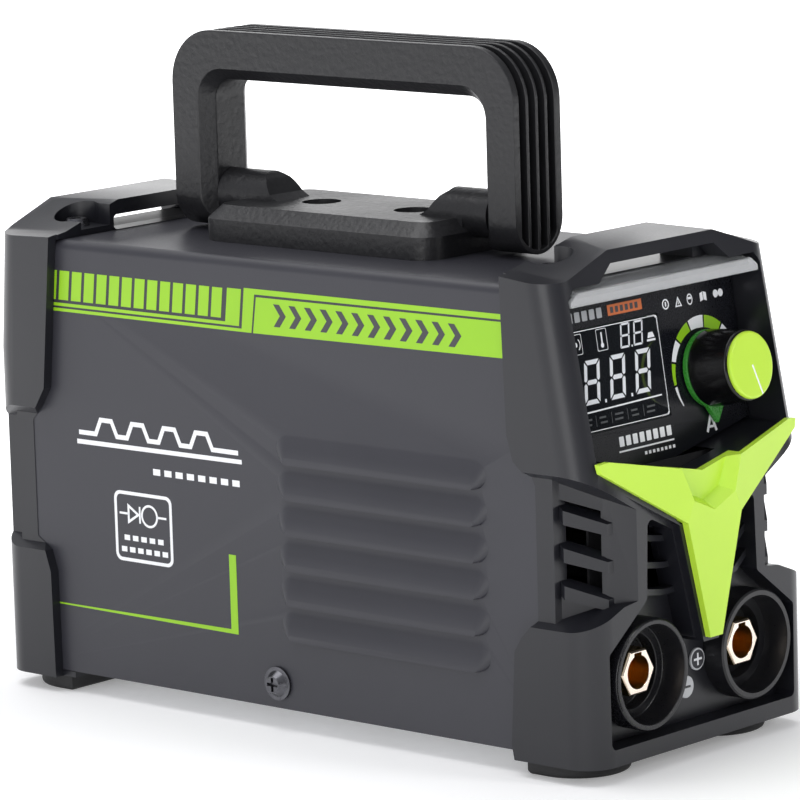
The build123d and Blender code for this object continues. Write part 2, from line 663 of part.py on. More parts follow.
with BuildPart() as rear_bezel:
    with BuildSketch(Plane.XY.offset(BEZEL_LOW)):
        with Locations((0, (98.0 + Y_REAR) / 2)):
            Rectangle(2 * EAR_HALF, Y_REAR - 98.0)
    extrude(amount=HUMP_TOP + 6 - BEZEL_LOW)
    # the crown falls slightly towards the rear
    with BuildSketch(Plane.XZ.offset(-75)):
        with BuildLine():
            Polyline(*crown(17.4, HUMP_TOP + 1.2, 149.9), close=True)
        make_face()
    with BuildSketch(Plane.XZ.offset(-135)):
        with BuildLine():
            Polyline(*crown(28.3, HUMP_TOP + 0.1, 148.2), close=True)
        make_face()
    loft(mode=Mode.INTERSECT)
    with BuildSketch(Plane.YZ):
        with BuildLine():
            Polyline((Y_REAR, 111.0), (Y_REAR - 54 * tan(radians(4.6)), 165.0),
                     (145, 165.0), (145, 111.0), close=True)
        make_face()
    extrude(amount=70, both=True, mode=Mode.SUBTRACT)
    # rounded corners that follow the lean
    corner = [e for e in rear_bezel.edges()
              if abs(abs(e.center().X) - EAR_HALF) < 0.3 and e.center().Y > 115 and e.bounding_box().size.Z > 30]
    fillet(corner, CORNER_R)
    add(rear_ear_trim.part, mode=Mode.SUBTRACT)
    add(rear_waist.part, mode=Mode.SUBTRACT)
    # room for the cover's end and the inside
    with Locations((0, 102.4, 77.0)):
        Box(2 * 49.15, 24.2, 140.3, mode=Mode.SUBTRACT)
    with Locations((48.25, 116.2, 77.0), (-48.25, 116.2, 77.0)):
        Box(1.8, 7.6, 140.3, mode=Mode.SUBTRACT)
    with Locations((0, 116.2, 146.25)):
        Box(2 * 49.15, 7.6, 1.8, mode=Mode.SUBTRACT)
    # recess for the rear panel
    with BuildSketch(Plane.XZ.offset(-REAR_PANEL_Y)):
        with BuildLine():
            FilletPolyline((0, 10.5), (42.5, 10.5), (42.5, 40), (39, 46), (39, 88), (42.5, 94),
                           (42.5, 140), (0, 140), radius=2.0)
            Line((0, 140), (0, 10.5))
        make_face()
        mirror(about=Plane.YZ)
    extrude(amount=-20, mode=Mode.SUBTRACT)
    # strap slot through the hump
    with BuildSketch(Plane.XZ.offset(-135)):
        with Locations((0, 149.6)):
            RectangleRounded(47.6, 4.8, 1.5)
    extrude(amount=60, mode=Mode.SUBTRACT)
    with BuildSketch(Plane.XZ.offset(-104.6)):
        with BuildLine():
            Polyline((-26.0, 143.0), (26.0, 143.0), (23.9, 152.0), (-23.9, 152.0), close=True)
        make_face()
    extrude(amount=-40, mode=Mode.SUBTRACT)
    # pockets of the shoulder screws
    with Locations((-32, 106.5, 153.6), (32, 106.5, 153.6)):
        Cylinder(7.2, 9.2, mode=Mode.SUBTRACT)
    with Locations((-32, 100.0, 153.6), (32, 100.0, 153.6)):
        Box(13, 13, 9.2, mode=Mode.SUBTRACT)
    with Locations((-32, 106.5, 147), (32, 106.5, 147)):
        Cylinder(1.7, 12, mode=Mode.SUBTRACT)
    with Locations((-32.4, 106.8, 5), (32.4, 106.8, 5)):
        Cylinder(2.6, 10, mode=Mode.SUBTRACT)
    # fan opening, switch cut-out and cable gland hole
    with Locations(Location((0, 116, FAN_Z), (90, 0, 0))):
        Cylinder(37.0, 12, mode=Mode.SUBTRACT)
    with Locations((ROCKER_X, 116, ROCKER_Z)):
        Box(27.2, 12, 21.6, mode=Mode.SUBTRACT)
    with Locations(Location((GLAND_X, 116, GLAND_Z), (90, 0, 0))):
        Cylinder(8.1, 12, mode=Mode.SUBTRACT)
    with Locations(*[Location((sx * 35.75, 116, FAN_Z + sz * 35.75), (90, 0, 0))
                     for sx in (-1, 1) for sz in (-1, 1)]):
        Cylinder(2.1, 12, mode=Mode.SUBTRACT)
finish(rear_bezel, "rear_bezel")

# fan guard: wire rings and four spokes, screwed over the fan opening
with BuildPart() as fan_guard:
    rear_out = Plane.XZ.offset(-(REAR_PANEL_Y + 2.6))
    for gr in (10.0, 17.0, 24.0, 31.0, 37.6):
        with BuildSketch(rear_out):
            with Locations((0, FAN_Z)):
                Circle(gr + 0.9)
                Circle(gr - 0.9, mode=Mode.SUBTRACT)
        extrude(amount=1.8)
    with BuildSketch(Plane.XZ.offset(-(REAR_PANEL_Y + 0.9))):
        with Locations((0, FAN_Z)):
            for ga in (45, 135, 225, 315):
                with PolarLocations(30.3, 1, ga):
                    Rectangle(44, 1.8)
            for ga in (45, 135, 225, 315):
                with PolarLocations(50.56, 1, ga):
                    Circle(3.6)
            for ga in (45, 135, 225, 315):
                with PolarLocations(50.56, 1, ga):
                    Circle(2.1, mode=Mode.SUBTRACT)
    extrude(amount=0.9)
    with BuildSketch(Plane.XZ.offset(-(REAR_PANEL_Y + 0.9))):
        with Locations((0, FAN_Z)):
            for ga in (45, 135, 225, 315):
                with PolarLocations(22.5, 1, ga):
                    Rectangle(30, 1.8)
    extrude(amount=0.9)
finish(fan_guard, "fan_guard")

with BuildPart() as fan_guard_screws:
    for sx in (-1, 1):
        for sz in (-1, 1):
            cx, cz = sx * 35.75, FAN_Z + sz * 35.75
            with BuildSketch(Plane.XZ.offset(-(REAR_PANEL_Y + 0.92))):
                with Locations((cx, cz)):
                    Circle(3.5)
            extrude(amount=-1.9)
            with BuildSketch(Plane.XZ.offset(-(REAR_PANEL_Y + 0.92))):
                with Locations((cx, cz)):
                    Circle(1.8)
            extrude(amount=12)
            with BuildSketch(Plane.XZ.offset(-(REAR_PANEL_Y + 3.0))):
                with Locations((cx, cz)):
                    Rectangle(3.6, 0.8)
                    Rectangle(0.8, 3.6)
            extrude(amount=1.2, mode=Mode.SUBTRACT)
finish(fan_guard_screws, "fan_guard_screws")

# axial fan: square frame with motor mount, and a seven-blade rotor
with BuildPart() as fan_frame:
    with Locations((0, (FAN_Y0 + FAN_Y1) / 2, FAN_Z)):
        Box(FAN, FAN_Y1 - FAN_Y0, FAN)
    fillet(fan_frame.edges().filter_by(Axis.Y), 4)
    with Locations(Location((0, (FAN_Y0 + FAN_Y1) / 2, FAN_Z), (90, 0, 0))):
        Cylinder(38.2, 40, mode=Mode.SUBTRACT)
    with Locations(*[Location((sx * 35.75, 101, FAN_Z + sz * 35.75), (90, 0, 0))
                     for sx in (-1, 1) for sz in (-1, 1)]):
        Cylinder(1.85, 40, mode=Mode.SUBTRACT)
    with BuildSketch(Plane.XZ.offset(-FAN_Y0)):
        with Locations((0, FAN_Z)):
            Circle(14)
            for ga in (0, 90, 180, 270):
                with PolarLocations(25, 1, ga):
                    Rectangle(29, 4)
    extrude(amount=-2.4)
    with BuildSketch(Plane.XZ.offset(-(FAN_Y0 + 2.4))):
        with Locations((0, FAN_Z)):
            Circle(1.5)
    extrude(amount=-13)
finish(fan_frame, "fan_frame")

with BuildPart() as fan_rotor:
    with BuildSketch(Plane.XZ.offset(-(FAN_Y0 + 3.0))):
        with Locations((0, FAN_Z)):
            Circle(15)
            Circle(1.55, mode=Mode.SUBTRACT)
    extrude(amount=-17.0)
    with BuildSketch(Plane.XZ.offset(-(FAN_Y0 + 17.2))):
        with Locations((0, FAN_Z)):
            Circle(15)
    extrude(amount=-2.8)
    for k in range(7):
        a = k * 360 / 7
        blade = Plane(origin=(0, FAN_Y0 + 11.5, FAN_Z), x_dir=(cos(radians(a)), 0, sin(radians(a))),
                      z_dir=(-sin(radians(a)), 0, cos(radians(a))))
        with BuildSketch(blade.offset(-0.7)):
            with Locations((25.2, 0)):
                Rectangle(22.6, 20, rotation=0)
        blade_solid = extrude(amount=1.4, mode=Mode.PRIVATE)
        add(blade_solid.rotate(Axis((0, FAN_Y0 + 11.5, FAN_Z), (cos(radians(a)), 0, sin(radians(a)))), 42))
finish(fan_rotor, "fan_rotor")

# mains rocker switch
with BuildPart() as rocker_frame:
    with Locations((ROCKER_X, REAR_PANEL_Y + 0.9, ROCKER_Z)):
        Box(31, 1.7, 25.4)
    fillet(rocker_frame.edges().filter_by(Axis.Y), 1.5)
    with Locations((ROCKER_X, REAR_PANEL_Y - 9.0, ROCKER_Z)):
        Box(27.0, 18.2, 21.4)
    with Locations((ROCKER_X, REAR_PANEL_Y - 3.0, ROCKER_Z)):
        Box(23.4, 12.6, 18.0, mode=Mode.SUBTRACT)
    with Locations((ROCKER_X - 8, REAR_PANEL_Y - 21.6, ROCKER_Z), (ROCKER_X + 8, REAR_PANEL_Y - 21.6, ROCKER_Z)):
        Box(0.8, 7.2, 6.3)
    with Locations(Location((ROCKER_X, REAR_PANEL_Y - 2.5, ROCKER_Z), (0, 90, 0))):
        Cylinder(1.3, 26.0, mode=Mode.SUBTRACT)
finish(rocker_frame, "rocker_frame")

with BuildPart() as rocker_button:
    with BuildSketch(Plane.YZ.offset(ROCKER_X)):
        with BuildLine():
            # ends follow a circle about the pivot, so that they swing inside the frame
            Polyline((REAR_PANEL_Y - 6.0, ROCKER_Z - 3.0), (REAR_PANEL_Y - 4.5, ROCKER_Z - 8.4),
                     (REAR_PANEL_Y - 2.5, ROCKER_Z - 8.7), (REAR_PANEL_Y - 0.2, ROCKER_Z - 8.35),
                     (REAR_PANEL_Y + 1.8, ROCKER_Z - 7.5), (REAR_PANEL_Y + 3.6, ROCKER_Z - 6.1),
                     (REAR_PANEL_Y + 1.5, ROCKER_Z),
                     (REAR_PANEL_Y + 0.6, ROCKER_Z + 8.0), (REAR_PANEL_Y - 2.5, ROCKER_Z + 8.7),
                     (REAR_PANEL_Y - 4.5, ROCKER_Z + 8.4), (REAR_PANEL_Y - 6.0, ROCKER_Z + 3.0), close=True)
        make_face()
    extrude(amount=11.4, both=True)
    with Locations(Location((ROCKER_X, REAR_PANEL_Y - 2.5, ROCKER_Z), (0, 90, 0))):
        Cylinder(1.25, 25.4)
finish(rocker_button, "rocker_button")

# mains cable gland
with BuildPart() as gland_body:
    with BuildSketch(Plane.XZ.offset(-(REAR_PANEL_Y + 0.02))):
        with Locations((GLAND_X, GLAND_Z)):
            RegularPolygon(11.0, 6)
    extrude(amount=-3.4)
    with BuildSketch(Plane.XZ.offset(-(REAR_PANEL_Y - 9.0))):
        with Locations((GLAND_X, GLAND_Z)):
            Circle(8.0)
    extrude(amount=-14.0)
    with BuildSketch(Plane.XZ.offset(-(REAR_PANEL_Y - 10.0))):
        with Locations((GLAND_X, GLAND_Z)):
            Circle(4.6)
    extrude(amount=-20.0, mode=Mode.SUBTRACT)
    with BuildSketch(Plane.XZ.offset(-(REAR_PANEL_Y - 8.0))):
        with Locations((GLAND_X, GLAND_Z)):
            RegularPolygon(10.6, 6)
            Circle(7.9, mode=Mode.SUBTRACT)
    extrude(amount=-4.4)
finish(gland_body, "gland_body")

with BuildPart() as gland_nut:
    with BuildSketch(Plane.XZ.offset(-(REAR_PANEL_Y + 3.5))):
        with Locations((GLAND_X, GLAND_Z)):
            RegularPolygon(9.8, 12)
    extrude(amount=-5.0)
    with BuildSketch(Plane.XZ.offset(-(REAR_PANEL_Y + 8.5))):
        with Locations((GLAND_X, GLAND_Z)):
            Circle(9.0)
    with BuildSketch(Plane.XZ.offset(-(REAR_PANEL_Y + 10.6))):
        with Locations((GLAND_X, GLAND_Z)):
            Circle(6.6)
    loft()
    with BuildSketch(Plane.XZ.offset(-(REAR_PANEL_Y + 3.0))):
        with Locations((GLAND_X, GLAND_Z)):
            Circle(8.05)
    extrude(amount=-2.2, mode=Mode.SUBTRACT)
    with BuildSketch(Plane.XZ.offset(-(REAR_PANEL_Y + 3.0))):
        with Locations((GLAND_X, GLAND_Z)):
            Circle(4.6)
    extrude(amount=-20.0, mode=Mode.SUBTRACT)
finish(gland_nut, "gland_nut")

# =========================================================================
# feet and case screws
# =========================================================================
with BuildPart() as foot:
    # D outline: rounded towards the end of the machine, straight towards its middle
    with BuildSketch(Plane.XY):
        with BuildLine():
            Line((-15.6, 0), (-15.6, 7.4))
            Line((-15.6, 7.4), (15.6, 7.4))
            Line((15.6, 7.4), (15.6, 0))
            ThreePointArc((15.6, 0), (0, -15.6), (-15.6, 0))
        make_face()
    extrude(amount=BEZEL_LOW - 0.02)
    chamfer(foot.faces().sort_by(Axis.Z)[0].edges(), 0.8)
    with Locations((0, 1.6, BEZEL_LOW)):
        Cylinder(2.4, 7.2)

with BuildPart() as feet:
    for fx in (-32.4, 32.4):
        add(foot.part.moved(Location((fx, -98.4, 0))))
        add(foot.part.moved(Location((fx, 108.4, 0), (0, 0, 180))))
finish(feet, "feet")

with BuildPart() as shoulder_screws:
    for sx in (-32, 32):
        for sy in (-91.5, 106.5):
            with BuildSketch(Plane.XY.offset(149.02)):
                with Locations((sx, sy)):
                    Circle(4.2)
            with BuildSketch(Plane.XY.offset(151.4)):
                with Locations((sx, sy)):
                    Circle(3.2)
            loft()
            with BuildSketch(Plane.XY.offset(150.1)):
                with Locations((sx, sy)):
                    Rectangle(4.4, 1.0)
                    Rectangle(1.0, 4.4)
            extrude(amount=3, mode=Mode.SUBTRACT)
            with BuildSketch(Plane.XY.offset(149.02)):
                with Locations((sx, sy)):
                    Circle(1.6)
            extrude(amount=-10)
finish(shoulder_screws, "shoulder_screws")

with BuildPart() as side_screws:
    for s in (-1, 1):
        sp = Plane(origin=(s * (CASE_HALF + 0.02), 8.4, 14.9), x_dir=(0, 1, 0), z_dir=(s, 0, 0))
        with BuildSketch(sp):
            Circle(5.3)
        extrude(amount=0.9)
        with BuildSketch(sp.offset(0.9)):
            Circle(4.1)
        with BuildSketch(sp.offset(3.1)):
            Circle(2.6)
        loft()
        with BuildSketch(sp.offset(1.8)):
            Rectangle(4.4, 1.0)
            Rectangle(1.0, 4.4)
        extrude(amount=3, mode=Mode.SUBTRACT)
        with BuildSketch(sp):
            Circle(1.65)
        extrude(amount=-4.2)
finish(side_screws, "side_screws")

# =========================================================================
# folding carrying handle
# =========================================================================
PLATE_C = (PLATE_Y0 + PLATE_Y1) / 2
PLATE_L = PLATE_Y1 - PLATE_Y0
# ramps from the barrels down to the plate
with BuildPart() as ramps:
    for y1, yr in ((-27.5, -18.6), (49.6, 41.2)):
        with BuildSketch(Plane.YZ):
            with BuildLine():
                Polyline((y1, Z_TOP + 9), (y1, PIVOT_Z + 6.8), (y1 + (yr - y1) * 0.25, PIVOT_Z + 5.2),
                         (y1 + (yr - y1) * 0.62, PIVOT_Z + 0.9), (yr, Z_TOP + 11.1), (yr, Z_TOP + 9), close=True)
            make_face()
        extrude(amount=7.6, both=True)
    with BuildSketch(Plane.XZ.offset(-60)):
        with Locations((0, PIVOT_Z)):
            Circle(7.6)
        with Locations((0, PIVOT_Z - 8)):
            Rectangle(15.2, 16)
    extrude(amount=120, mode=Mode.INTERSECT)

with BuildPart() as handle_base:
    add(ramps.part)
    with BuildSketch(Plane.XY.offset(Z_TOP + 0.02)):
        with Locations((0, PLATE_C)):
            RectangleRounded(50.8, PLATE_L, 8)
    extrude(amount=7.0)
    with BuildSketch(Plane.XY.offset(Z_TOP + 7.02)):
        with Locations((0, PLATE_C)):
            RectangleRounded(50.8, PLATE_L, 8)
    with BuildSketch(Plane.XY.offset(Z_TOP + 11.1)):
        with Locations((0, PLATE_C)):
            RectangleRounded(41.4, PLATE_L - 8, 5)
    loft()
    # barrel bosses with a ramp down to the plate
    for y0, y1, yr in ((GRIP_Y0 + GRIP_T + 0.35, -27.5, -18.6), (GRIP_Y1 - GRIP_T - 0.35, 49.6, 41.2)):
        lo, hi = min(y0, y1), max(y0, y1)
        with BuildSketch(Plane.XZ.offset(-hi)):
            with Locations((0, PIVOT_Z)):
                Circle(7.6)
        extrude(amount=hi - lo)
        y_plate = -36.0 if y0 < 0 else 57.6
        with BuildSketch(Plane.XZ.offset(-max(y_plate, y1))):
            with Locations((0, (PIVOT_Z + Z_TOP + 8) / 2)):
                Rectangle(15.2, PIVOT_Z - Z_TOP - 8)
        extrude(amount=abs(y_plate - y1))
    # counterbored screw holes
    with Locations((0, 29.1, Z_TOP + 11.1), (0, -9.5, Z_TOP + 11.1)):
        Cylinder(6.2, 12.4, mode=Mode.SUBTRACT)
        Cylinder(2.1, 30, mode=Mode.SUBTRACT)
    # pin holes
    with Locations(Location((0, (-50.0 - 32.0) / 2, PIVOT_Z), (90, 0, 0)),
                   Location((0, (72.0 + 54.0) / 2, PIVOT_Z), (90, 0, 0))):
        Cylinder(PIN_R, 18.0, mode=Mode.SUBTRACT)
finish(handle_base, "handle_base")

with BuildPart() as handle_screws:
    for hy in (29.1, -9.5):
        with BuildSketch(Plane.XY.offset(Z_TOP + 4.92)):
            with Locations((0, hy)):
                Circle(5.0)
                RegularPolygon(2.4, 6, mode=Mode.SUBTRACT)
        extrude(amount=3.4)
        with BuildSketch(Plane.XY.offset(Z_TOP + 4.92)):
            with Locations((0, hy)):
                Circle(5.0)
        extrude(amount=1.2)
        with BuildSketch(Plane.XY.offset(Z_TOP + 4.92)):
            with Locations((0, hy)):
                Circle(2.0)
        extrude(amount=-14)
finish(handle_screws, "handle_screws")

with BuildPart() as handle_pins:
    with Locations(Location((0, (-53.6 - 32.0) / 2, PIVOT_Z), (90, 0, 0))):
        Cylinder(PIN_R, 21.6)
    with Locations(Location((0, (75.2 + 54.0) / 2, PIVOT_Z), (90, 0, 0))):
        Cylinder(PIN_R, 21.2)
finish(handle_pins, "handle_pins")

GRIP_C = (GRIP_Y0 + GRIP_Y1) / 2
GRIP_L = GRIP_Y1 - GRIP_Y0
R_OUT, R_IN = 17.0, 6.5
with BuildPart() as grip_groove:
    # band between the outer outline and a line 6 mm inside it
    with BuildSketch(Plane.YZ):
        with BuildLine():
            FilletPolyline((GRIP_Y0 - 3, PIVOT_Z - 12), (GRIP_Y0 - 3, GRIP_TOP + 3), (GRIP_Y1 + 3, GRIP_TOP + 3),
                           (GRIP_Y1 + 3, PIVOT_Z - 12), radius=R_OUT + 3)
            Line((GRIP_Y1 + 3, PIVOT_Z - 12), (GRIP_Y0 - 3, PIVOT_Z - 12))
        make_face()
        with BuildLine():
            FilletPolyline((GRIP_Y0 + 5, PIVOT_Z - 13), (GRIP_Y0 + 5, GRIP_TOP - 5), (GRIP_Y1 - 5, GRIP_TOP - 5),
                           (GRIP_Y1 - 5, PIVOT_Z - 13), radius=R_OUT - 5)
            Line((GRIP_Y1 - 5, PIVOT_Z - 13), (GRIP_Y0 + 5, PIVOT_Z - 13))
        make_face(mode=Mode.SUBTRACT)
    extrude(amount=1.6, both=True)
with BuildPart() as grip_grooves:
    for gx in (-6.6, -2.2, 2.2, 6.6):
        add(grip_groove.part.moved(Location((gx, 0, 0))))
    with BuildSketch(Plane.XZ.offset(-100)):
        with Locations((0, PIVOT_Z)):
            Circle(GRIP_HALF - 1.5)
        with Locations((0, PIVOT_Z + 40)):
            Rectangle(2 * GRIP_HALF, 80)
    extrude(amount=200, mode=Mode.INTERSECT)

with BuildPart() as handle_grip:
    with BuildSketch(Plane.YZ):
        with BuildLine():
            FilletPolyline((GRIP_Y0, PIVOT_Z - GRIP_HALF), (GRIP_Y0, GRIP_TOP), (GRIP_Y1, GRIP_TOP),
                           (GRIP_Y1, PIVOT_Z - GRIP_HALF), radius=R_OUT)
            Line((GRIP_Y1, PIVOT_Z - GRIP_HALF), (GRIP_Y0, PIVOT_Z - GRIP_HALF))
        make_face()
        with BuildLine():
            FilletPolyline((GRIP_Y0 + GRIP_T, PIVOT_Z - 30), (GRIP_Y0 + GRIP_T, GRIP_TOP - GRIP_TT),
                           (GRIP_Y1 - GRIP_T, GRIP_TOP - GRIP_TT), (GRIP_Y1 - GRIP_T, PIVOT_Z - 30), radius=R_IN)
            Line((GRIP_Y1 - GRIP_T, PIVOT_Z - 30), (GRIP_Y0 + GRIP_T, PIVOT_Z - 30))
        make_face(mode=Mode.SUBTRACT)
    extrude(amount=GRIP_HALF, both=True)
    # leg ends rounded about the pivot
    with BuildSketch(Plane.XZ.offset(-100)):
        with Locations((0, PIVOT_Z)):
            Circle(GRIP_HALF)
        with Locations((0, PIVOT_Z + 40)):
            Rectangle(2 * GRIP_HALF, 80)
    extrude(amount=200, mode=Mode.INTERSECT)
    # inner edges of the opening are bevelled
    with BuildSketch(Plane.YZ.offset(GRIP_HALF)):
        with BuildLine():
            FilletPolyline((GRIP_Y0 + GRIP_T - 3.8, PIVOT_Z - 30), (GRIP_Y0 + GRIP_T - 3.8, GRIP_TOP - GRIP_TT + 3.8),
                           (GRIP_Y1 - GRIP_T + 3.8, GRIP_TOP - GRIP_TT + 3.8), (GRIP_Y1 - GRIP_T + 3.8, PIVOT_Z - 30),
                           radius=R_IN + 3.8)
            Line((GRIP_Y1 - GRIP_T + 3.8, PIVOT_Z - 30), (GRIP_Y0 + GRIP_T - 3.8, PIVOT_Z - 30))
        make_face()
    with BuildSketch(Plane.YZ.offset(GRIP_HALF - 4.6)):
        with BuildLine():
            FilletPolyline((GRIP_Y0 + GRIP_T, PIVOT_Z - 30), (GRIP_Y0 + GRIP_T, GRIP_TOP - GRIP_TT),
                           (GRIP_Y1 - GRIP_T, GRIP_TOP - GRIP_TT), (GRIP_Y1 - GRIP_T, PIVOT_Z - 30), radius=R_IN)
            Line((GRIP_Y1 - GRIP_T, PIVOT_Z - 30), (GRIP_Y0 + GRIP_T, PIVOT_Z - 30))
        make_face()
    loft(mode=Mode.SUBTRACT)
    with BuildSketch(Plane.YZ.offset(-GRIP_HALF)):
        with BuildLine():
            FilletPolyline((GRIP_Y0 + GRIP_T - 3.8, PIVOT_Z - 30), (GRIP_Y0 + GRIP_T - 3.8, GRIP_TOP - GRIP_TT + 3.8),
                           (GRIP_Y1 - GRIP_T + 3.8, GRIP_TOP - GRIP_TT + 3.8), (GRIP_Y1 - GRIP_T + 3.8, PIVOT_Z - 30),
                           radius=R_IN + 3.8)
            Line((GRIP_Y1 - GRIP_T + 3.8, PIVOT_Z - 30), (GRIP_Y0 + GRIP_T - 3.8, PIVOT_Z - 30))
        make_face()
    with BuildSketch(Plane.YZ.offset(-(GRIP_HALF - 4.6))):
        with BuildLine():
            FilletPolyline((GRIP_Y0 + GRIP_T, PIVOT_Z - 30), (GRIP_Y0 + GRIP_T, GRIP_TOP - GRIP_TT),
                           (GRIP_Y1 - GRIP_T, GRIP_TOP - GRIP_TT), (GRIP_Y1 - GRIP_T, PIVOT_Z - 30), radius=R_IN)
            Line((GRIP_Y1 - GRIP_T, PIVOT_Z - 30), (GRIP_Y0 + GRIP_T, PIVOT_Z - 30))
        make_face()
    loft(mode=Mode.SUBTRACT)
    # four grooves along the outer face leave three thin ribs
    add(grip_grooves.part, mode=Mode.SUBTRACT)
    # pin holes
    with Locations(Location((0, GRIP_Y0 + GRIP_T - 4.0, PIVOT_Z), (90, 0, 0)),
                   Location((0, GRIP_Y1 - GRIP_T + 4.0, PIVOT_Z), (90, 0, 0))):
        Cylinder(PIN_R + 0.05, 8.6, mode=Mode.SUBTRACT)
finish(handle_grip, "handle_grip")

# =========================================================================
# inside
# =========================================================================
with BuildPart() as main_board:
    with BuildSketch(Plane.XY.offset(15.0)):
        with Locations((0, 2)):
            Rectangle(88, 156)
        with Locations((0, 2)):
            with GridLocations(78, 146, 2, 2):
                Circle(1.8, mode=Mode.SUBTRACT)
    extrude(amount=1.6)
finish(main_board, "main_board")

with BuildPart() as board_standoffs:
    with BuildSketch(Plane.XY.offset(8.42)):
        with Locations((0, 2)):
            with GridLocations(78, 146, 2, 2):
                RegularPolygon(3.4, 6)
    extrude(amount=6.56)
finish(board_standoffs, "board_standoffs")

for name, s in (("left", -1), ("right", 1)):
    with BuildPart() as heatsink:
        with BuildSketch(Plane.XZ.offset(-36)):
            with Locations((s * 36.0, 64)):
                Rectangle(5, 90)
            with Locations((s * 28.8, 64)):
                with GridLocations(1, 10.8, 1, 9):
                    Rectangle(11.4, 1.8)
        extrude(amount=96)
    finish(heatsink, f"heatsink_{name}")

with BuildPart() as power_transistors:
    for s in (-1, 1):
        for ty in (-46, -24, -2, 20):
            with Locations((s * 41.05, ty, 40)):
                Box(5, 15.6, 20.6)
            with Locations((s * 41.05, ty - 5.4, 23.15), (s * 41.05, ty, 23.15), (s * 41.05, ty + 5.4, 23.15)):
                Box(0.8, 1.2, 13.1)
finish(power_transistors, "power_transistors")

with BuildPart() as transformer_core:
    with Locations((0, 62, 47)):
        Box(56, 24, 60)
    with Locations((-14, 62, 47), (14, 62, 47)):
        Box(15, 30, 38, mode=Mode.SUBTRACT)
    with Locations((0, 62, 16.9)):
        Box(40, 16, 0.6)
finish(transformer_core, "transformer_core")

with BuildPart() as transformer_winding:
    with BuildSketch(Plane.XY.offset(29)):
        with Locations((0, 62)):
            RectangleRounded(41, 46, 10)
            Rectangle(13.2, 24.2, mode=Mode.SUBTRACT)
    extrude(amount=36)
finish(transformer_winding, "transformer_winding")

with BuildPart() as bulk_capacitors:
    with BuildSketch(Plane.XY.offset(16.62)):
        with Locations((-1.2, -48), (-1.2, -20)):
            Circle(12.6)
    extrude(amount=45)
    fillet(bulk_capacitors.faces().sort_by(Axis.Z)[-1].edges(), 1.2)
finish(bulk_capacitors, "bulk_capacitors")

with BuildPart() as rectifier_bridge:
    with Locations((0, 14, 25)):
        Box(28, 14, 16)
    with Locations((-9, 14, 16.9), (-3, 14, 16.9), (3, 14, 16.9), (9, 14, 16.9)):
        Box(1.2, 1.2, 0.6)
finish(rectifier_bridge, "rectifier_bridge")

for name, sx in (("minus", -SOCKET_X), ("plus", SOCKET_X)):
    with BuildPart() as busbar:
        # drilled tab held behind the socket nut, then a strap down to the board
        with BuildSketch(Plane.XZ.offset(81.0)):
            with Locations((sx, SOCKET_Z)):
                RectangleRounded(20, 20, 3)
            with Locations((sx, SOCKET_Z - 8)):
                Rectangle(14, 11)
            with Locations((sx, SOCKET_Z)):
                Circle(5.1, mode=Mode.SUBTRACT)
        extrude(amount=2.9)
        with BuildSketch(Plane.XY.offset(16.62)):
            with Locations((sx, -74.0)):
                Rectangle(14, 19.8)
        extrude(amount=1.6)
    finish(busbar, f"busbar_{name}")
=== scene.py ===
import math

import bmesh
import bpy
from mathutils import Matrix, Vector


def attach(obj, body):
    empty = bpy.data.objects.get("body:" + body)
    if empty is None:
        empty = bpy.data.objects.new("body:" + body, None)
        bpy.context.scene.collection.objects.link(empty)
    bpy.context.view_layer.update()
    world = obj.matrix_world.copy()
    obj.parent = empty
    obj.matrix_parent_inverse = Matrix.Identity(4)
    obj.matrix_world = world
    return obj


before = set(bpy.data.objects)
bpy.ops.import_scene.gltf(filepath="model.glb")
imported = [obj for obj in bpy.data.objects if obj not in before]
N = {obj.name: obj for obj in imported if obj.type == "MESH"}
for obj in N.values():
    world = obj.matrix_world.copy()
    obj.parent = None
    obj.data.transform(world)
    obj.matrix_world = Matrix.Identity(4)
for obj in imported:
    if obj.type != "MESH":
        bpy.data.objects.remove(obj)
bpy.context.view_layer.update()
scene = bpy.context.scene

# ------------------------------------------------------------------ camera
cam_data = bpy.data.cameras.new("camera")
cam = bpy.data.objects.new("camera", cam_data)
scene.collection.objects.link(cam)
r = Vector((0.66464, -0.74659, -0.02958)).normalized()
fw = Vector((0.73260, 0.65894, -0.17063))
fw = (fw - fw.dot(r) * r).normalized()
u = r.cross(fw).normalized()
m = Matrix((r, u, -fw)).transposed().to_4x4()
m.translation = Vector((-1.1892, -1.0711, 0.3745))
cam.matrix_world = m
cam_data.sensor_width = 36.0
cam_data.lens = 233.67
cam_data.clip_start, cam_data.clip_end = 0.05, 30.0
scene.camera = cam

# --------------------------------------------------------------- materials


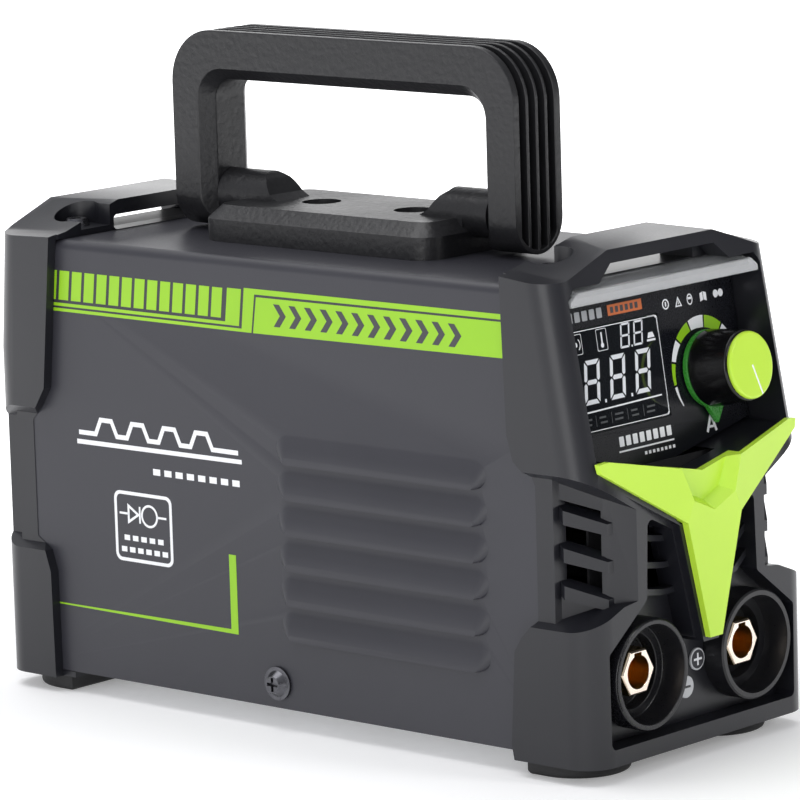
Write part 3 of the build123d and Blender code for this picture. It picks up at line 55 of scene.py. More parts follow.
class Mat:
    """small helper around one node tree"""

    def __init__(self, name):
        self.m = bpy.data.materials.new(name)
        self.m.use_nodes = True
        self.t = self.m.node_tree
        self.t.nodes.clear()
        self.out = self.add("ShaderNodeOutputMaterial")
        self.p = self.add("ShaderNodeBsdfPrincipled")
        self.link(self.p.outputs["BSDF"], self.out.inputs["Surface"])
        self.co = self.add("ShaderNodeTexCoord").outputs["Object"]

    def add(self, kind, **props):
        n = self.t.nodes.new(kind)
        for k, v in props.items():
            setattr(n, k, v)
        return n

    def link(self, a, b):
        self.t.links.new(a, b)

    def noise(self, scale, detail=3.0, rough=0.55, co=None, distortion=0.0):
        n = self.add("ShaderNodeTexNoise")
        n.inputs["Scale"].default_value = scale
        n.inputs["Detail"].default_value = detail
        n.inputs["Roughness"].default_value = rough
        n.inputs["Distortion"].default_value = distortion
        self.link(co or self.co, n.inputs["Vector"])
        return n.outputs["Fac"]

    def voronoi(self, scale, feature="F1", co=None):
        n = self.add("ShaderNodeTexVoronoi", feature=feature)
        n.inputs["Scale"].default_value = scale
        self.link(co or self.co, n.inputs["Vector"])
        return n.outputs["Distance"]

    def map(self, fac, lo, hi, a, b):
        n = self.add("ShaderNodeMapRange")
        n.inputs["From Min"].default_value = lo
        n.inputs["From Max"].default_value = hi
        n.inputs["To Min"].default_value = a
        n.inputs["To Max"].default_value = b
        self.link(fac, n.inputs["Value"])
        return n.outputs["Result"]

    def mix(self, fac, a, b):
        n = self.add("ShaderNodeMix", data_type="RGBA")
        n.inputs[0].default_value = 0.5
        if fac is not None:
            self.link(fac, n.inputs[0])
        for v, i in ((a, 6), (b, 7)):
            if isinstance(v, (tuple, list)):
                n.inputs[i].default_value = (*v[:3], 1.0)
            else:
                self.link(v, n.inputs[i])
        return n.outputs[2]

    def math(self, op, a, b=None):
        n = self.add("ShaderNodeMath", operation=op)
        for v, i in ((a, 0), (b, 1)):
            if v is None:
                continue
            if isinstance(v, (int, float)):
                n.inputs[i].default_value = v
            else:
                self.link(v, n.inputs[i])
        return n.outputs[0]

    def bump(self, height, distance, strength=1.0, base=None):
        n = self.add("ShaderNodeBump")
        n.inputs["Strength"].default_value = strength
        n.inputs["Distance"].default_value = distance
        self.link(height, n.inputs["Height"])
        if base is not None:
            self.link(base, n.inputs["Normal"])
        return n.outputs["Normal"]

    def set(self, **kw):
        names = {"color": "Base Color", "rough": "Roughness", "metal": "Metallic", "normal": "Normal",
                 "ior": "IOR", "spec": "Specular IOR Level", "coat": "Coat Weight", "coat_rough": "Coat Roughness",
                 "trans": "Transmission Weight", "alpha": "Alpha", "emit": "Emission Color",
                 "emit_strength": "Emission Strength", "sss": "Subsurface Weight", "sss_scale": "Subsurface Scale"}
        for k, v in kw.items():
            s = self.p.inputs[names[k]]
            if isinstance(v, bpy.types.NodeSocket):
                self.link(v, s)
            elif isinstance(v, (tuple, list)):
                s.default_value = (*v[:3], 1.0)
            else:
                s.default_value = v
        return self.m


def plastic(name, dark, light, rough=(0.36, 0.46), grain=900.0, depth=0.00003, spec=0.5, large=18.0, coat=0.0, cells=False):
    """moulded or painted surface: mottled colour, uneven gloss, fine grain"""
    k = Mat(name)
    big = k.noise(large, 4.0)
    fine = k.noise(grain, 3.0, 0.6)
    c = k.mix(k.map(big, 0.3, 0.7, 0.0, 1.0), dark, light)
    if cells:
        v = k.voronoi(grain * 0.8, "SMOOTH_F1")
        h = k.math("ADD", k.math("MULTIPLY", v, 0.8), fine)
    else:
        h = fine
    ro = k.map(k.math("ADD", k.math("MULTIPLY", big, 0.6), k.math("MULTIPLY", fine, 0.4)), 0.3, 0.7, rough[0], rough[1])
    k.set(color=c, rough=ro, normal=k.bump(h, depth), spec=spec)
    if coat:
        k.set(coat=coat, coat_rough=0.08)
    return k.m


def metal(name, dark, light, rough=(0.22, 0.36), stretch=(1, 1, 1), grain=500.0, depth=0.000012):
    """metal with drawn or turned streaks"""
    k = Mat(name)
    mp = k.add("ShaderNodeMapping")
    mp.inputs["Scale"].default_value = stretch
    k.link(k.co, mp.inputs["Vector"])
    streak = k.noise(grain, 4.0, 0.6, co=mp.outputs["Vector"])
    big = k.noise(60.0, 3.0)
    c = k.mix(k.map(k.math("ADD", k.math("MULTIPLY", streak, 0.5), k.math("MULTIPLY", big, 0.5)), 0.35, 0.65, 0.0, 1.0), dark, light)
    k.set(color=c, metal=1.0, rough=k.map(streak, 0.3, 0.7, rough[0], rough[1]), normal=k.bump(streak, depth))
    return k.m


M = {}
M["cover"] = plastic("cover_paint", (0.029, 0.029, 0.037), (0.036, 0.036, 0.045), (0.38, 0.48), 1500.0, 0.000022, large=9.0)
M["bezel"] = plastic("bezel_plastic", (0.0095, 0.0098, 0.0135), (0.0130, 0.0134, 0.0175), (0.27, 0.36), 1400.0, 0.000016, large=14.0)
M["handle"] = plastic("handle_plastic", (0.0095, 0.0095, 0.011), (0.0145, 0.0145, 0.0165), (0.34, 0.46), 620.0, 0.00014, large=30.0, cells=True)
M["lime"] = plastic("lime_plastic", (0.50, 0.78, 0.045), (0.55, 0.83, 0.060), (0.30, 0.38), 1500.0, 0.00001, large=20.0)
M["green"] = plastic("green_plastic", (0.035, 0.26, 0.03), (0.05, 0.34, 0.04), (0.22, 0.32), 1500.0, 0.00001)
M["ink_green"] = plastic("ink_green", (0.27, 0.55, 0.008), (0.31, 0.61, 0.012), (0.38, 0.48), 1600.0, 0.000012)
M["ink_white"] = plastic("ink_white", (0.84, 0.85, 0.88), (0.92, 0.93, 0.95), (0.40, 0.5), 1600.0, 0.00001)
M["ink_grey"] = plastic("ink_grey", (0.32, 0.33, 0.35), (0.42, 0.43, 0.45), (0.40, 0.5), 1600.0, 0.00001)
M["ink_orange"] = plastic("ink_orange", (0.55, 0.13, 0.03), (0.64, 0.17, 0.045), (0.35, 0.45), 1600.0, 0.00001)
M["ink_dark"] = plastic("ink_dark", (0.040, 0.040, 0.047), (0.048, 0.048, 0.055), (0.40, 0.50), 1500.0, 0.00001)
M["panel"] = plastic("panel_print", (0.0045, 0.005, 0.008), (0.0065, 0.007, 0.010), (0.24, 0.32), 2200.0, 0.000008, spec=0.35)
M["knob"] = plastic("knob_plastic", (0.003, 0.003, 0.0035), (0.0045, 0.0045, 0.005), (0.16, 0.24), 700.0, 0.000006, spec=0.4)
M["dark"] = plastic("dark_plastic", (0.014, 0.014, 0.016), (0.021, 0.021, 0.023), (0.42, 0.54), 900.0, 0.00004)
M["collar"] = plastic("collar_plastic", (0.007, 0.007, 0.009), (0.011, 0.011, 0.013), (0.24, 0.34), 1200.0, 0.000015)
M["rubber"] = plastic("foot_rubber", (0.014, 0.014, 0.015), (0.022, 0.022, 0.023), (0.55, 0.72), 600.0, 0.00006)
M["screw"] = metal("black_screw", (0.09, 0.09, 0.10), (0.16, 0.16, 0.175), (0.24, 0.36))
M["steel"] = metal("steel", (0.50, 0.50, 0.52), (0.68, 0.68, 0.70), (0.22, 0.34))
M["zinc"] = metal("zinc_steel", (0.48, 0.49, 0.50), (0.66, 0.67, 0.69), (0.30, 0.44), (1, 0.15, 1))
M["wire"] = metal("guard_wire", (0.55, 0.56, 0.58), (0.70, 0.71, 0.73), (0.14, 0.24))
M["alu"] = metal("aluminium", (0.66, 0.67, 0.69), (0.80, 0.81, 0.83), (0.28, 0.40), (1, 0.05, 1))
M["copper"] = metal("copper", (0.70, 0.30, 0.16), (0.84, 0.42, 0.24), (0.22, 0.34))
M["winding"] = plastic("copper_winding", (0.30, 0.10, 0.02), (0.52, 0.22, 0.06), (0.28, 0.40), 300.0, 0.0002)
M["ferrite"] = plastic("ferrite", (0.03, 0.03, 0.032), (0.055, 0.055, 0.058), (0.45, 0.6), 800.0, 0.00005)
M["pcb"] = plastic("circuit_board", (0.010, 0.09, 0.03), (0.016, 0.14, 0.045), (0.25, 0.36), 400.0, 0.00003)
M["cap"] = plastic("capacitor_sleeve", (0.010, 0.014, 0.05), (0.016, 0.022, 0.08), (0.18, 0.28), 700.0, 0.00001)
M["white"] = plastic("white_plastic", (0.52, 0.53, 0.55), (0.66, 0.67, 0.69), (0.34, 0.44), 1200.0, 0.00001)

# brass with turning marks round each socket, paler on the end face, with painted shade darkening the bore deeper in
k = Mat("brass")
sep = k.add("ShaderNodeSeparateXYZ")
k.link(k.co, sep.inputs[0])
mp = k.add("ShaderNodeMapping")
mp.inputs["Scale"].default_value = (0.15, 3.0, 0.15)
k.link(k.co, mp.inputs["Vector"])
turn = k.noise(900.0, 3.0, 0.6, co=mp.outputs["Vector"])
face = k.map(sep.outputs["Y"], -0.1158, -0.11525, 1.0, 0.0)
body = k.mix(k.map(turn, 0.3, 0.7, 0.0, 1.0), (0.86, 0.60, 0.20), (0.95, 0.74, 0.32))
# painted shade: the brass turns darker and a deeper amber further back in the bore
painted_bore_shade = k.map(sep.outputs["Y"], -0.1135, -0.104, 0.0, 1.0)
body = k.mix(painted_bore_shade, body, (0.70, 0.44, 0.12))
k.set(color=k.mix(face, body, (0.98, 0.86, 0.74)), metal=1.0, rough=k.map(turn, 0.3, 0.7, 0.16, 0.26), normal=k.bump(turn, 0.00001))
M["brass"] = k.m

# dark display glass: faint mottled tone under a glossy skin
k = Mat("display_glass")
big = k.noise(40.0, 3.0)
sep = k.add("ShaderNodeSeparateXYZ")
k.link(k.co, sep.inputs[0])
c = k.mix(k.map(big, 0.3, 0.7, 0.0, 1.0), (0.007, 0.008, 0.011), (0.010, 0.012, 0.014))
k.set(color=c, rough=k.map(big, 0.3, 0.7, 0.05, 0.10), coat=0.6, coat_rough=0.03)
M["display"] = k.m

# clear polycarbonate, with a slight milky haze
k = Mat("clear_plastic")
haze = k.noise(35.0, 4.0, 0.6)
k.set(color=k.mix(k.map(haze, 0.3, 0.7, 0, 1), (0.80, 0.82, 0.84), (0.92, 0.93, 0.95)), rough=k.map(haze, 0.3, 0.7, 0.10, 0.24),
      trans=0.75, ior=1.55, spec=0.8, normal=k.bump(haze, 0.00006))
M["clear"] = k.m

ASSIGN = {
    "sheet_cover": "cover", "base_tray": "zinc", "front_bezel": "bezel", "rear_bezel": "bezel", "v_trim": "lime",
    "clear_visor": "clear", "panel_overlay": "panel", "display_window": "display", "display_module": "dark",
    "control_board": "pcb", "main_board": "pcb", "knob_body": "knob", "knob_cap": "lime", "knob_skirt": "green",
    "dust_filter": "dark", "knob_shaft": "steel", "potentiometer": "zinc", "socket_collar_minus": "collar", "socket_collar_plus": "collar",
    "socket_insert_minus": "brass", "socket_insert_plus": "brass", "socket_nuts": "steel", "polarity_discs": "white",
    "fan_guard": "wire", "fan_guard_screws": "steel", "fan_frame": "dark", "fan_rotor": "dark", "rocker_frame": "dark",
    "rocker_button": "knob", "gland_body": "dark", "gland_nut": "dark", "feet": "rubber", "shoulder_screws": "screw",
    "side_screws": "screw", "handle_base": "handle", "handle_grip": "handle", "handle_pins": "steel",
    "handle_screws": "screw", "board_standoffs": "brass", "heatsink_left": "alu", "heatsink_right": "alu",
    "power_transistors": "dark", "transformer_core": "ferrite", "transformer_winding": "winding",
    "bulk_capacitors": "cap", "rectifier_bridge": "dark", "busbar_minus": "copper", "busbar_plus": "copper",
}
for name, key in ASSIGN.items():
    o = N[name]
    o.data.materials.clear()
    o.data.materials.append(M[key])

# ------------------------------------- moulded and folded edges get a radius
BEVEL = {
    "front_bezel": 0.9, "rear_bezel": 0.9, "v_trim": 0.45, "handle_base": 1.3, "handle_grip": 0.7,
    "sheet_cover": 0.5, "clear_visor": 0.35, "knob_body": 0.9, "knob_cap": 0.35, "knob_skirt": 0.3,
    "socket_collar_minus": 0.4, "socket_collar_plus": 0.4, "socket_insert_minus": 0.2, "socket_insert_plus": 0.2,
    "polarity_discs": 0.15, "feet": 0.7, "rocker_frame": 0.5, "rocker_button": 0.5, "gland_nut": 0.5,
    "gland_body": 0.5, "fan_frame": 0.4, "fan_rotor": 0.3, "shoulder_screws": 0.2, "side_screws": 0.2,
    "handle_screws": 0.2, "base_tray": 0.3, "panel_overlay": 0.1, "display_window": 0.1,
}
for name, w in BEVEL.items():
    o = N[name]
    att = o.data.attributes.get("custom_normal")
    if att is not None:
        o.data.attributes.remove(att)
    for p in o.data.polygons:
        p.use_smooth = True
    weld = o.modifiers.new("weld", "WELD")
    weld.merge_threshold = 0.00001
    dec = o.modifiers.new("flat", "DECIMATE")
    dec.decimate_type = "DISSOLVE"
    dec.angle_limit = math.radians(0.6)
    bev = o.modifiers.new("edge", "BEVEL")
    bev.width = w * 0.001
    bev.segments = 3
    bev.limit_method = "ANGLE"
    bev.angle_limit = math.radians(24)
    bev.use_clamp_overlap = True
    bev.harden_normals = True
    bev.miter_outer = "MITER_ARC"

# ------------------------------------------------------------ thin graphics


def prism(bm, loops, put, w0, w1):
    """one closed flat tile per loop, from lift w0 to lift w1"""
    for loop in loops:
        top = [bm.verts.new(put(a, b, w1)) for a, b in loop]
        low = [bm.verts.new(put(a, b, w0)) for a, b in loop]
        n = len(loop)
        bm.faces.new(top)
        bm.faces.new(list(reversed(low)))
        for i in range(n):
            j = (i + 1) % n
            bm.faces.new((top[i], low[i], low[j], top[j]))


def ring(bm, outer, inner, put, w0, w1, closed=True):
    """closed band between two loops of the same count"""
    n = len(outer)
    v = {}
    for key, loop, w in (("ot", outer, w1), ("it", inner, w1), ("ol", outer, w0), ("il", inner, w0)):
        v[key] = [bm.verts.new(put(a, b, w)) for a, b in loop]
    for i in range(n if closed else n - 1):
        j = (i + 1) % n
        bm.faces.new((v["ot"][i], v["ot"][j], v["it"][j], v["it"][i]))
        bm.faces.new((v["ol"][i], v["il"][i], v["il"][j], v["ol"][j]))
        bm.faces.new((v["ot"][i], v["ol"][i], v["ol"][j], v["ot"][j]))
        bm.faces.new((v["it"][i], v["it"][j], v["il"][j], v["il"][i]))
    if not closed:
        for e in (0, n - 1):
            bm.faces.new((v["ot"][e], v["it"][e], v["il"][e], v["ol"][e]))


def tile(name, put, mat, body, polys=(), rings=(), w0=-0.02, w1=0.05):
    bm = bmesh.new()
    prism(bm, polys, put, w0, w1)
    for g in rings:
        ring(bm, g[0], g[1], put, w0, w1, *(g[2:] or ()))
    bmesh.ops.recalc_face_normals(bm, faces=bm.faces)
    me = bpy.data.meshes.new(name)
    bm.to_mesh(me)
    bm.free()
    me.materials.append(mat)
    o = bpy.data.objects.new(name, me)
    scene.collection.objects.link(o)
    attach(o, body)
    return o


def rect(a0, b0, a1, b1):
    return [(a0, b0), (a1, b0), (a1, b1), (a0, b1)]


def rrect(a0, b0, a1, b1, rad, n=6):
    pts = []
    for ca, cb, s in ((a1 - rad, b0 + rad, -90), (a1 - rad, b1 - rad, 0), (a0 + rad, b1 - rad, 90), (a0 + rad, b0 + rad, 180)):
        for i in range(n + 1):
            t = math.radians(s + 90 * i / n)
            pts.append((ca + rad * math.cos(t), cb + rad * math.sin(t)))
    return pts


def arc(ca, cb, rad, a0, a1, n=16):
    """clock angles, in degrees from twelve o'clock, clockwise"""
    return [(ca + rad * math.sin(math.radians(a0 + (a1 - a0) * i / n)), cb + rad * math.cos(math.radians(a0 + (a1 - a0) * i / n))) for i in range(n + 1)]


def stroke(points, width):
    """two rails either side of a polyline, mitred"""
    left, right = [], []
    for i, p in enumerate(points):
        a = points[max(i - 1, 0)]
        b = points[min(i + 1, len(points) - 1)]
        d1 = (Vector(p) - Vector(a)).normalized() if i > 0 else (Vector(b) - Vector(p)).normalized()
        d2 = (Vector(b) - Vector(p)).normalized() if i < len(points) - 1 else d1
        n1, n2 = Vector((-d1.y, d1.x)), Vector((-d2.y, d2.x))
        nn = (n1 + n2).normalized()
        k_ = width / 2 / max(0.35, nn.dot(n1))
        left.append((p[0] + nn.x * k_, p[1] + nn.y * k_))
        right.append((p[0] - nn.x * k_, p[1] - nn.y * k_))
    return left, right, False


# --- printed graphics of both side walls -----------------------------------
for side, sx in (("left", -1.0), ("right", 1.0)):
    def wall(y, z, w, sx=sx):
        return Vector((sx * (49.0 + w), y, z)) * 0.001

    S = -0.115     # the bars lean forward going up

    def bar(y_hi, y_lo, z0, z1, zm=132.5, S=S):
        return [(y_hi + S * (z0 - zm), z0), (y_lo + S * (z0 - zm), z0), (y_lo + S * (z1 - zm), z1), (y_hi + S * (z1 - zm), z1)]

    bars = [bar(102.9, 99.6, 127.9, 137.3)]
    for i in range(13):
        yc = 96.2 - 5.57 * i
        bars.append(bar(yc + 2.15, yc - 2.15, 127.9, 137.3))
    # the last bar runs into the first thin line below the bars
    lbar = [(103.2, 125.9), (20.2, 125.9)]
    polys = bars + [
        [(103.2, 126.9), (103.2, 125.9), (20.1, 125.9), (18.7, 137.5), (24.6, 137.5), (25.9, 126.9)],
        # second thin line, flowing into the wide band
        [(103.2, 125.2), (103.2, 124.2), (14.6, 124.4), (13.3, 135.1), (-86.3, 135.1), (-86.3, 136.0), (-86.3, 138.2), (17.2, 138.2), (18.9, 125.2)],
    ]
    # one band with a thin dark line drawn as a gap
    polys[-1] = [(103.2, 125.2), (103.2, 124.2), (14.9, 124.2), (13.2, 136.3), (-88.6, 136.7), (-88.6, 138.3), (17.5, 138.0), (19.0, 125.2)]
    polys.append([(14.2, 124.2), (-88.8, 125.2), (-88.6, 136.0), (12.5, 135.5)])
    tile(f"print_band_{side}", wall, M["ink_green"], "case", polys)
    # chevrons in place of wording
    chev = []
    for i in range(12):
        y = 5.4 - 6.45 * i
        z0, z1, zc = 126.9, 133.9, 130.4
        chev.append([(y, z0), (y - 2.5, z0), (y - 5.2, zc), (y - 2.5, z1), (y, z1), (y - 2.7, zc)])
    tile(f"print_chevrons_{side}", wall, M["ink_dark"], "case", chev, w0=0.0, w1=0.09)
    # corner line
    tile(f"print_corner_{side}", wall, M["ink_green"], "case",
         [[(105.4, 28.75), (24.9, 28.2), (24.9, 53.4), (27.9, 53.4), (27.9, 29.6), (105.4, 29.2)]])
    # white marks: pulse line over a rule, short dashes and the diode badge
    pulse = [(92.0, 85.9), (84.5, 85.9), (82.2, 90.6), (77.4, 90.6), (75.1, 85.9), (70.6, 85.9), (68.3, 90.6),
             (63.5, 90.6), (61.2, 85.9), (56.7, 85.9), (54.4, 90.6), (49.6, 90.6), (47.3, 85.9), (42.8, 85.9),
             (40.5, 90.6), (35.7, 90.6), (33.4, 85.9), (22.4, 85.9)]
    white = []
    rings_ = [stroke(pulse, 1.5)]
    white.append([(93.0, 83.6), (21.0, 83.9), (21.0, 82.5), (93.0, 82.1)])
    for i in range(8):
        y = 59.6 - 4.9 * i
        white.append([(y, 77.2), (y - 3.1, 77.2), (y - 3.1, 75.2), (y, 75.2)])
    y0, y1, z0, z1 = 77.4, 52.1, 46.2, 68.8
    rings_.append((rrect(y1, z0, y0, z1, 2.6), rrect(y1 + 1.1, z0 + 1.1, y0 - 1.1, z1 - 1.1, 1.7)))
    zc = 61.6
    rings_.append(stroke([(75.2, zc), (71.3, zc)], 0.7))
    tri_o = [(71.6, zc + 3.3), (71.6, zc - 3.3), (66.2, zc)]
    tri_i = [(70.8, zc + 1.9), (70.8, zc - 1.9), (67.7, zc)]
    rings_.append((tri_o, tri_i))
    white.append([(66.6, zc + 2.7), (65.9, zc + 2.7), (65.9, zc - 2.7), (66.6, zc - 2.7)])
    rings_.append((arc(62.0, zc, 3.7, 0, 360, 32)[:-1], arc(62.0, zc, 2.95, 0, 360, 32)[:-1]))
    rings_.append(stroke([(58.5, zc), (54.6, zc)], 0.7))
    for i in range(5):
        y = 73.4 - 3.7 * i
        white.append([(y, 54.7), (y - 2.4, 54.7), (y - 2.4, 53.0), (y, 53.0)])
    for i in range(6):
        y = 74.8 - 3.6 * i
        white.append([(y, 50.9), (y - 2.4, 50.9), (y - 2.4, 49.2), (y, 49.2)])
    tile(f"print_white_{side}", wall, M["ink_white"], "case", white, rings_)

# --- control panel ----------------------------------------------------------
TP = math.radians(8.5)


def panel(x, z, w):
    """x across, z height, w lift in mm above the panel's base face"""
    y = -98.2 - (134.5 - z) * math.tan(TP)
    return Vector((x, y - w * math.cos(TP), z + w * math.sin(TP))) * 0.001


def on_overlay(x, z, w):
    return panel(x, z, 0.6 + w)


def on_window(x, z, w):
    return panel(x, z, 0.8 + w)


def seg7(x, z, w, h, t, lean, on="abcdefg"):
    """hexagonal seven-segment digit, x z is its lower left corner"""
    g = t * 0.16
    def q(pts):
        return [(x + a + lean * b, z + b) for a, b in pts]
    out = []
    hm = h / 2
    if "a" in on:
        out.append(q([(g * 2, h), (w - g * 2, h), (w - t - g, h - t), (t + g, h - t)]))
    if "d" in on:
        out.append(q([(g * 2, 0), (t + g, t), (w - t - g, t), (w - g * 2, 0)]))
    if "g" in on:
        out.append(q([(t * 0.75 + g, hm), (t + g * 2, hm + t / 2), (w - t - g * 2, hm + t / 2), (w - t * 0.75 - g, hm), (w - t - g * 2, hm - t / 2), (t + g * 2, hm - t / 2)]))
    if "f" in on:
        out.append(q([(0, h - g * 2), (t, h - t - g * 2), (t, hm + t * 0.5 + g), (t * 0.5, hm + g), (0, hm + t * 0.5)]))
    if "b" in on:
        out.append(q([(w, h - g * 2), (w, hm + t * 0.5), (w - t * 0.5, hm + g), (w - t, hm + t * 0.5 + g), (w - t, h - t - g * 2)]))
    if "e" in on:
        out.append(q([(0, g * 2), (0, hm - t * 0.5), (t * 0.5, hm - g), (t, hm - t * 0.5 - g), (t, t + g * 2)]))
    if "c" in on:
        out.append(q([(w, g * 2), (w - t, t + g * 2), (w - t, hm - t * 0.5 - g), (w - t * 0.5, hm - g), (w, hm - t * 0.5)]))
    return out


glow = plastic("segment_white", (0.74, 0.76, 0.80), (0.86, 0.88, 0.92), (0.25, 0.35), 900.0, 0.00001)
segs = []
for x in (-31.0, -19.1, -7.2):
    segs += seg7(x, 109.6, 7.1, 12.9, 1.35, 0.17)
for x in (-21.7, -9.4):
    segs.append(rect(x, 109.3, x + 0.8, 110.3))
tile("lcd_digits", on_window, glow, "case", segs, w0=-0.01, w1=0.04)
small = []
for x in (-11.4, -5.2):
    small += seg7(x, 123.8, 4.3, 7.3, 0.62, 0.17)
small.append(rect(-6.2, 123.7, -5.7, 124.3))
tile("lcd_small_digits", on_window, glow, "case", small, w0=-0.01, w1=0.04)
lines = [stroke([(-33.0, 107.35), (4.6, 107.85)], 0.45)]
outer = rrect(-38.3, 101.6, 7.2, 131.5, 0.9)
inner = rrect(-38.05, 101.85, 6.95, 131.25, 0.7)
lines.append((outer, inner))
lines.append(stroke([(2.6, 131.45), (5.9, 131.4), (6.95, 130.6), (7.0, 126.4)], 0.42))
lines.append(stroke([(7.0, 107.0), (7.0, 102.6), (6.2, 101.75), (3.4, 101.7)], 0.42))
lines.append(stroke([(-33.8, 131.4), (-37.1, 131.4), (-38.1, 130.6), (-38.1, 126.4)], 0.42))
lines.append(stroke([(-38.1, 107.0), (-38.1, 102.6), (-37.3, 101.75), (-34.5, 101.7)], 0.42))
# thermometer and signal symbols
lines.append((rrect(-21.8, 124.4, -17.0, 130.9, 0.5), rrect(-21.62, 124.58, -17.18, 130.72, 0.4)))
lines.append((rrect(-34.4, 124.6, -28.6, 130.7, 0.5), rrect(-34.22, 124.78, -28.78, 130.52, 0.4)))
lines.append(stroke(arc(-31.5, 127.6, 2.0, 40, 140, 10), 0.32))
lines.append(stroke(arc(-31.5, 127.6, 2.0, 220, 320, 10), 0.32))
tile("lcd_lines", on_window, M["ink_white"], "case",
     [rrect(-19.7, 126.2, -19.1, 129.9, 0.25), arc(-19.4, 126.0, 0.75, 0, 360, 16)[:-1], arc(-31.5, 127.6, 0.75, 0, 360, 16)[:-1],
      [(1.6, 125.2), (2.3, 126.8), (4.2, 126.8), (4.9, 125.2)], rect(1.2, 124.2, 5.2, 124.8)],
     lines, w0=-0.01, w1=0.03)
faint = []
for i, x in enumerate((-33.4, -26.2, -18.9, -11.5, -3.9)):
    faint.append(rect(x + 0.9, 105.0, x + 4.7 - (i % 2) * 0.8, 105.55))
    faint.append(rect(x + 0.6 + (i % 2) * 0.6, 103.5, x + 4.4, 104.05))
tile("lcd_faint", on_window, M["ink_grey_dim"] if "ink_grey_dim" in M else plastic("ink_dim", (0.05, 0.055, 0.06), (0.08, 0.085, 0.09), (0.3, 0.4), 900.0, 0.00001),
     "case", faint, [stroke([(x, 102.9), (x, 106.2)], 0.18) for x in (-34.0, -26.9, -19.6, -12.2, -4.7)], w0=-0.01, w1=0.03)

# dial band that widens clockwise
def band(a0, a1, cx=27.15, cz=112.5, R=16.1):
    n = 10
    out, inn = [], []
    for i in range(n + 1):
        a = a0 + (a1 - a0) * i / n
        t = min(3.7, 0.35 + 3.35 * max(0.0, (a + 132)) / 130)
        s, c = math.sin(math.radians(a)), math.cos(math.radians(a))
        out.append((cx + R * s, cz + R * c))
        inn.append((cx + (R - t) * s, cz + (R - t) * c))
    return out, inn, False


edges = [-128, -102, -76, -49.5, -21.5, 7.5, 39.5, 66, 93, 120, 140]
gaps = 1.3
white_b, green_b = [], []
for i in range(len(edges) - 1):
    b = band(edges[i] + gaps, edges[i + 1] - gaps)
    (white_b if i % 2 == 0 else green_b).append(b)
tile("dial_white", on_overlay, M["ink_white"], "case", (), white_b, w0=-0.01, w1=0.04)
tile("dial_green", on_overlay, M["ink_green"], "case", (), green_b, w0=-0.01, w1=0.04)
# unit letter
A = [stroke([(23.9, 93.6), (26.3, 98.6)], 1.0), stroke([(26.3, 98.6), (28.3, 93.6)], 1.0), stroke([(24.9, 95.1), (27.6, 95.1)], 0.75)]
tile("dial_unit", on_overlay, M["ink_white"], "case", (), A, w0=-0.01, w1=0.04)
# orange label and light label beside it
tile("label_orange", on_overlay, M["ink_orange"], "case", [rect(-14.8, 134.0, 1.2, 137.2)], w0=-0.01, w1=0.04)
bars_ = [rrect(-37.0 + 3.4 * i, 134.0, -34.6 + 3.4 * i, 137.0, 0.3, 3) for i in range(6)]
tile("label_light", on_overlay, M["ink_grey"], "case", bars_, w0=-0.01, w1=0.04)
dk = [rect(-13.6 + 2.3 * i, 134.7, -12.2 + 2.3 * i, 136.5) for i in range(6)]
tile("label_orange_marks", on_overlay, M["ink_dark"], "case", dk, w0=0.0, w1=0.07)
# generic pictograms
pz = 133.9
icons_r = [(arc(12.3, pz, 1.6, 0, 360, 24)[:-1], arc(12.3, pz, 1.15, 0, 360, 24)[:-1]),
           ([(16.7, pz - 1.5), (20.0, pz - 1.5), (18.35, pz + 1.6)], [(17.4, pz - 1.1), (19.3, pz - 1.1), (18.35, pz + 0.75)]),
           ([(23.9 + 1.35 * math.sin(math.radians(t)), pz + 1.7 * math.cos(math.radians(t))) for t in range(0, 360, 15)],
            [(23.9 + 1.0 * math.sin(math.radians(t)), pz + 1.3 * math.cos(math.radians(t))) for t in range(0, 360, 15)])]
icons_p = [rect(12.0, pz - 0.7, 12.6, pz + 0.7), rect(18.2, pz - 0.8, 18.5, pz + 0.2), rect(23.1, pz + 0.0, 24.7, pz + 0.7),
           [(28.9, pz - 1.4), (30.3, pz - 1.0), (30.3, pz + 1.5), (28.9, pz + 1.1)], [(30.6, pz - 1.0), (32.0, pz - 1.4), (32.0, pz + 1.1), (30.6, pz + 1.5)],
           arc(36.5, pz + 0.1, 1.2, 0, 360, 18)[:-1], arc(38.9, pz + 0.1, 1.2, 0, 360, 18)[:-1]]
tile("panel_icons", on_overlay, M["ink_white"], "case", icons_p, icons_r, w0=-0.01, w1=0.04)
# rule and short marks below the display
mk = [rect(-18.2, 93.75, 7.8, 94.25)]
mk += [rrect(-17.6 + 3.2 * i, 95.4, -15.4 + 3.2 * i, 98.4, 0.25, 3) for i in range(8)]
mk += [rect(-6.6 + 1.9 * i, 91.5, -5.5 + 1.9 * i, 92.5) for i in range(8)]
tile("panel_rule", on_overlay, M["ink_white"], "case", mk, w0=-0.01, w1=0.04)

# pointer line on the knob's cap
cap_c = panel(27.3, 112.5, 18.5) * 1000


def on_cap(a, b, w):
    nx = Vector((0, -math.cos(TP), math.sin(TP)))
    up = Vector((0, math.sin(TP), math.cos(TP)))
    return (cap_c + Vector((1, 0, 0)) * a + up * b + nx * w) * 0.001


tile("knob_line", on_cap, M["ink_white"], "knob", (), [stroke([(0.1, 0.0), (3.3, -9.3)], 0.6)], w0=-0.03, w1=0.05)

# signs on the polarity discs
def on_disc(a, b, w):
    return Vector((a, -114.7 - w, b)) * 0.001


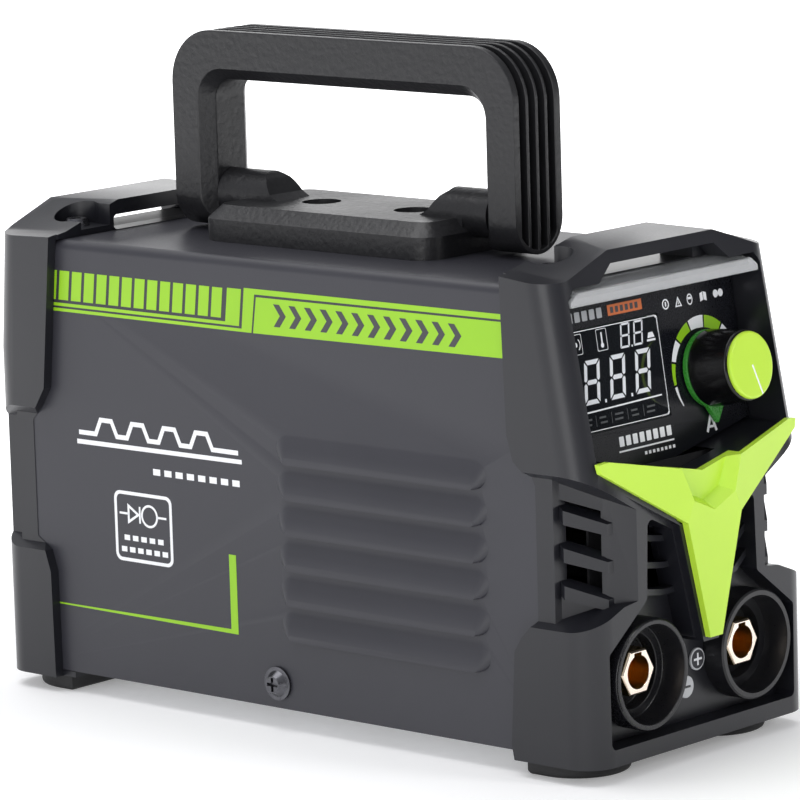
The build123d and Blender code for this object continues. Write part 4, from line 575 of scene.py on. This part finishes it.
tile("minus_sign", on_disc, M["ink_dark"], "case", [rect(-2.7, 20.25, 0.9, 20.95)], w0=-0.01, w1=0.05)
plus = [(4.6 + 2.9 * math.sin(math.radians(t)), 28.2 + 2.9 * math.cos(math.radians(t))) for t in range(0, 360, 12)]
tile("plus_field", on_disc, M["ink_dark"], "case", [plus], w0=-0.01, w1=0.05)
tile("plus_sign", on_disc, M["ink_white"], "case",
     [rect(2.7, 27.85, 6.5, 28.55), rect(4.25, 26.3, 4.95, 27.85), rect(4.25, 28.55, 4.95, 30.1)], w0=0.05, w1=0.1)


# ------------------------------------------------------------ floor and light
bm = bmesh.new()
bmesh.ops.create_grid(bm, x_segments=2, y_segments=2, size=6.0)
me = bpy.data.meshes.new("floor")
bm.to_mesh(me)
bm.free()
floor = bpy.data.objects.new("floor", me)
scene.collection.objects.link(floor)
fm = Mat("floor")
fn = fm.noise(3.0, 3.0)
floor_glow_distance = fm.add("ShaderNodeVectorMath", operation="LENGTH")
fm.link(fm.co, floor_glow_distance.inputs[0])
# painted light: the floor glows white, dimly near the object and at full strength further out
fm.set(emit=(1.0, 1.0, 1.0), emit_strength=fm.map(floor_glow_distance.outputs["Value"], 0.15, 0.7, 0.22, 1.0))
me.materials.append(fm.set(color=fm.mix(fm.map(fn, 0.3, 0.7, 0, 1), (0.90, 0.90, 0.905), (0.93, 0.93, 0.935)), rough=0.9, spec=0.1))

world = bpy.data.worlds.new("studio")
scene.world = world
world.use_nodes = True
wt = world.node_tree
wt.nodes.clear()
wo = wt.nodes.new("ShaderNodeOutputWorld")
bg = wt.nodes.new("ShaderNodeBackground")
bg2 = wt.nodes.new("ShaderNodeBackground")
mixs = wt.nodes.new("ShaderNodeMixShader")
lp = wt.nodes.new("ShaderNodeLightPath")
wc = wt.nodes.new("ShaderNodeTexCoord")
wd = wt.nodes.new("ShaderNodeVectorMath")
wd.operation = "DOT_PRODUCT"
wd.inputs[1].default_value = (-0.62, 0.40, 0.67)
wm = wt.nodes.new("ShaderNodeMapRange")
wm.interpolation_type = "SMOOTHSTEP"
for i, v in ((1, -0.55), (2, 0.75), (3, 0.03), (4, 0.62)):
    wm.inputs[i].default_value = v
bg.inputs["Color"].default_value = (0.95, 0.96, 1.0, 1)
bg2.inputs["Color"].default_value = (1, 1, 1, 1)
bg2.inputs["Strength"].default_value = 1.0
wt.links.new(wc.outputs["Generated"], wd.inputs[0])
wt.links.new(wd.outputs["Value"], wm.inputs[0])
wt.links.new(wm.outputs[0], bg.inputs["Strength"])
wt.links.new(lp.outputs["Is Camera Ray"], mixs.inputs[0])
wt.links.new(bg.outputs[0], mixs.inputs[1])
wt.links.new(bg2.outputs[0], mixs.inputs[2])
wt.links.new(mixs.outputs[0], wo.inputs["Surface"])


def area(name, loc, target, size, power, size_y=None, color=(1, 1, 1)):
    d = bpy.data.lights.new(name, "AREA")
    d.energy = power
    d.color = color
    d.shape = "RECTANGLE"
    d.size = size
    d.size_y = size_y or size
    o = bpy.data.objects.new(name, d)
    scene.collection.objects.link(o)
    o.location = loc
    o.rotation_mode = "QUATERNION"
    o.rotation_quaternion = (Vector(target) - Vector(loc)).to_track_quat("-Z", "Y")
    return o


area("top_soft", (-0.1, 0.35, 1.5), (0, 0, 0.1), 1.4, 13.0, 1.2)
area("left_soft", (-1.7, -0.75, 0.55), (0, -0.1, 0.1), 0.9, 7.0, 0.9)
area("front_fill", (0.45, -1.7, 0.9), (0, -0.1, 0.1), 0.4, 6.5, 0.4)
low = area("rear_low", (1.5, 1.5, 0.55), (0, 0, 0.15), 1.3, 6.0, 0.8)
low.visible_camera = False

scene.view_settings.view_transform = "Standard"
scene.view_settings.look = "None"
scene.view_settings.exposure = 0.0
scene.view_settings.gamma = 1.0
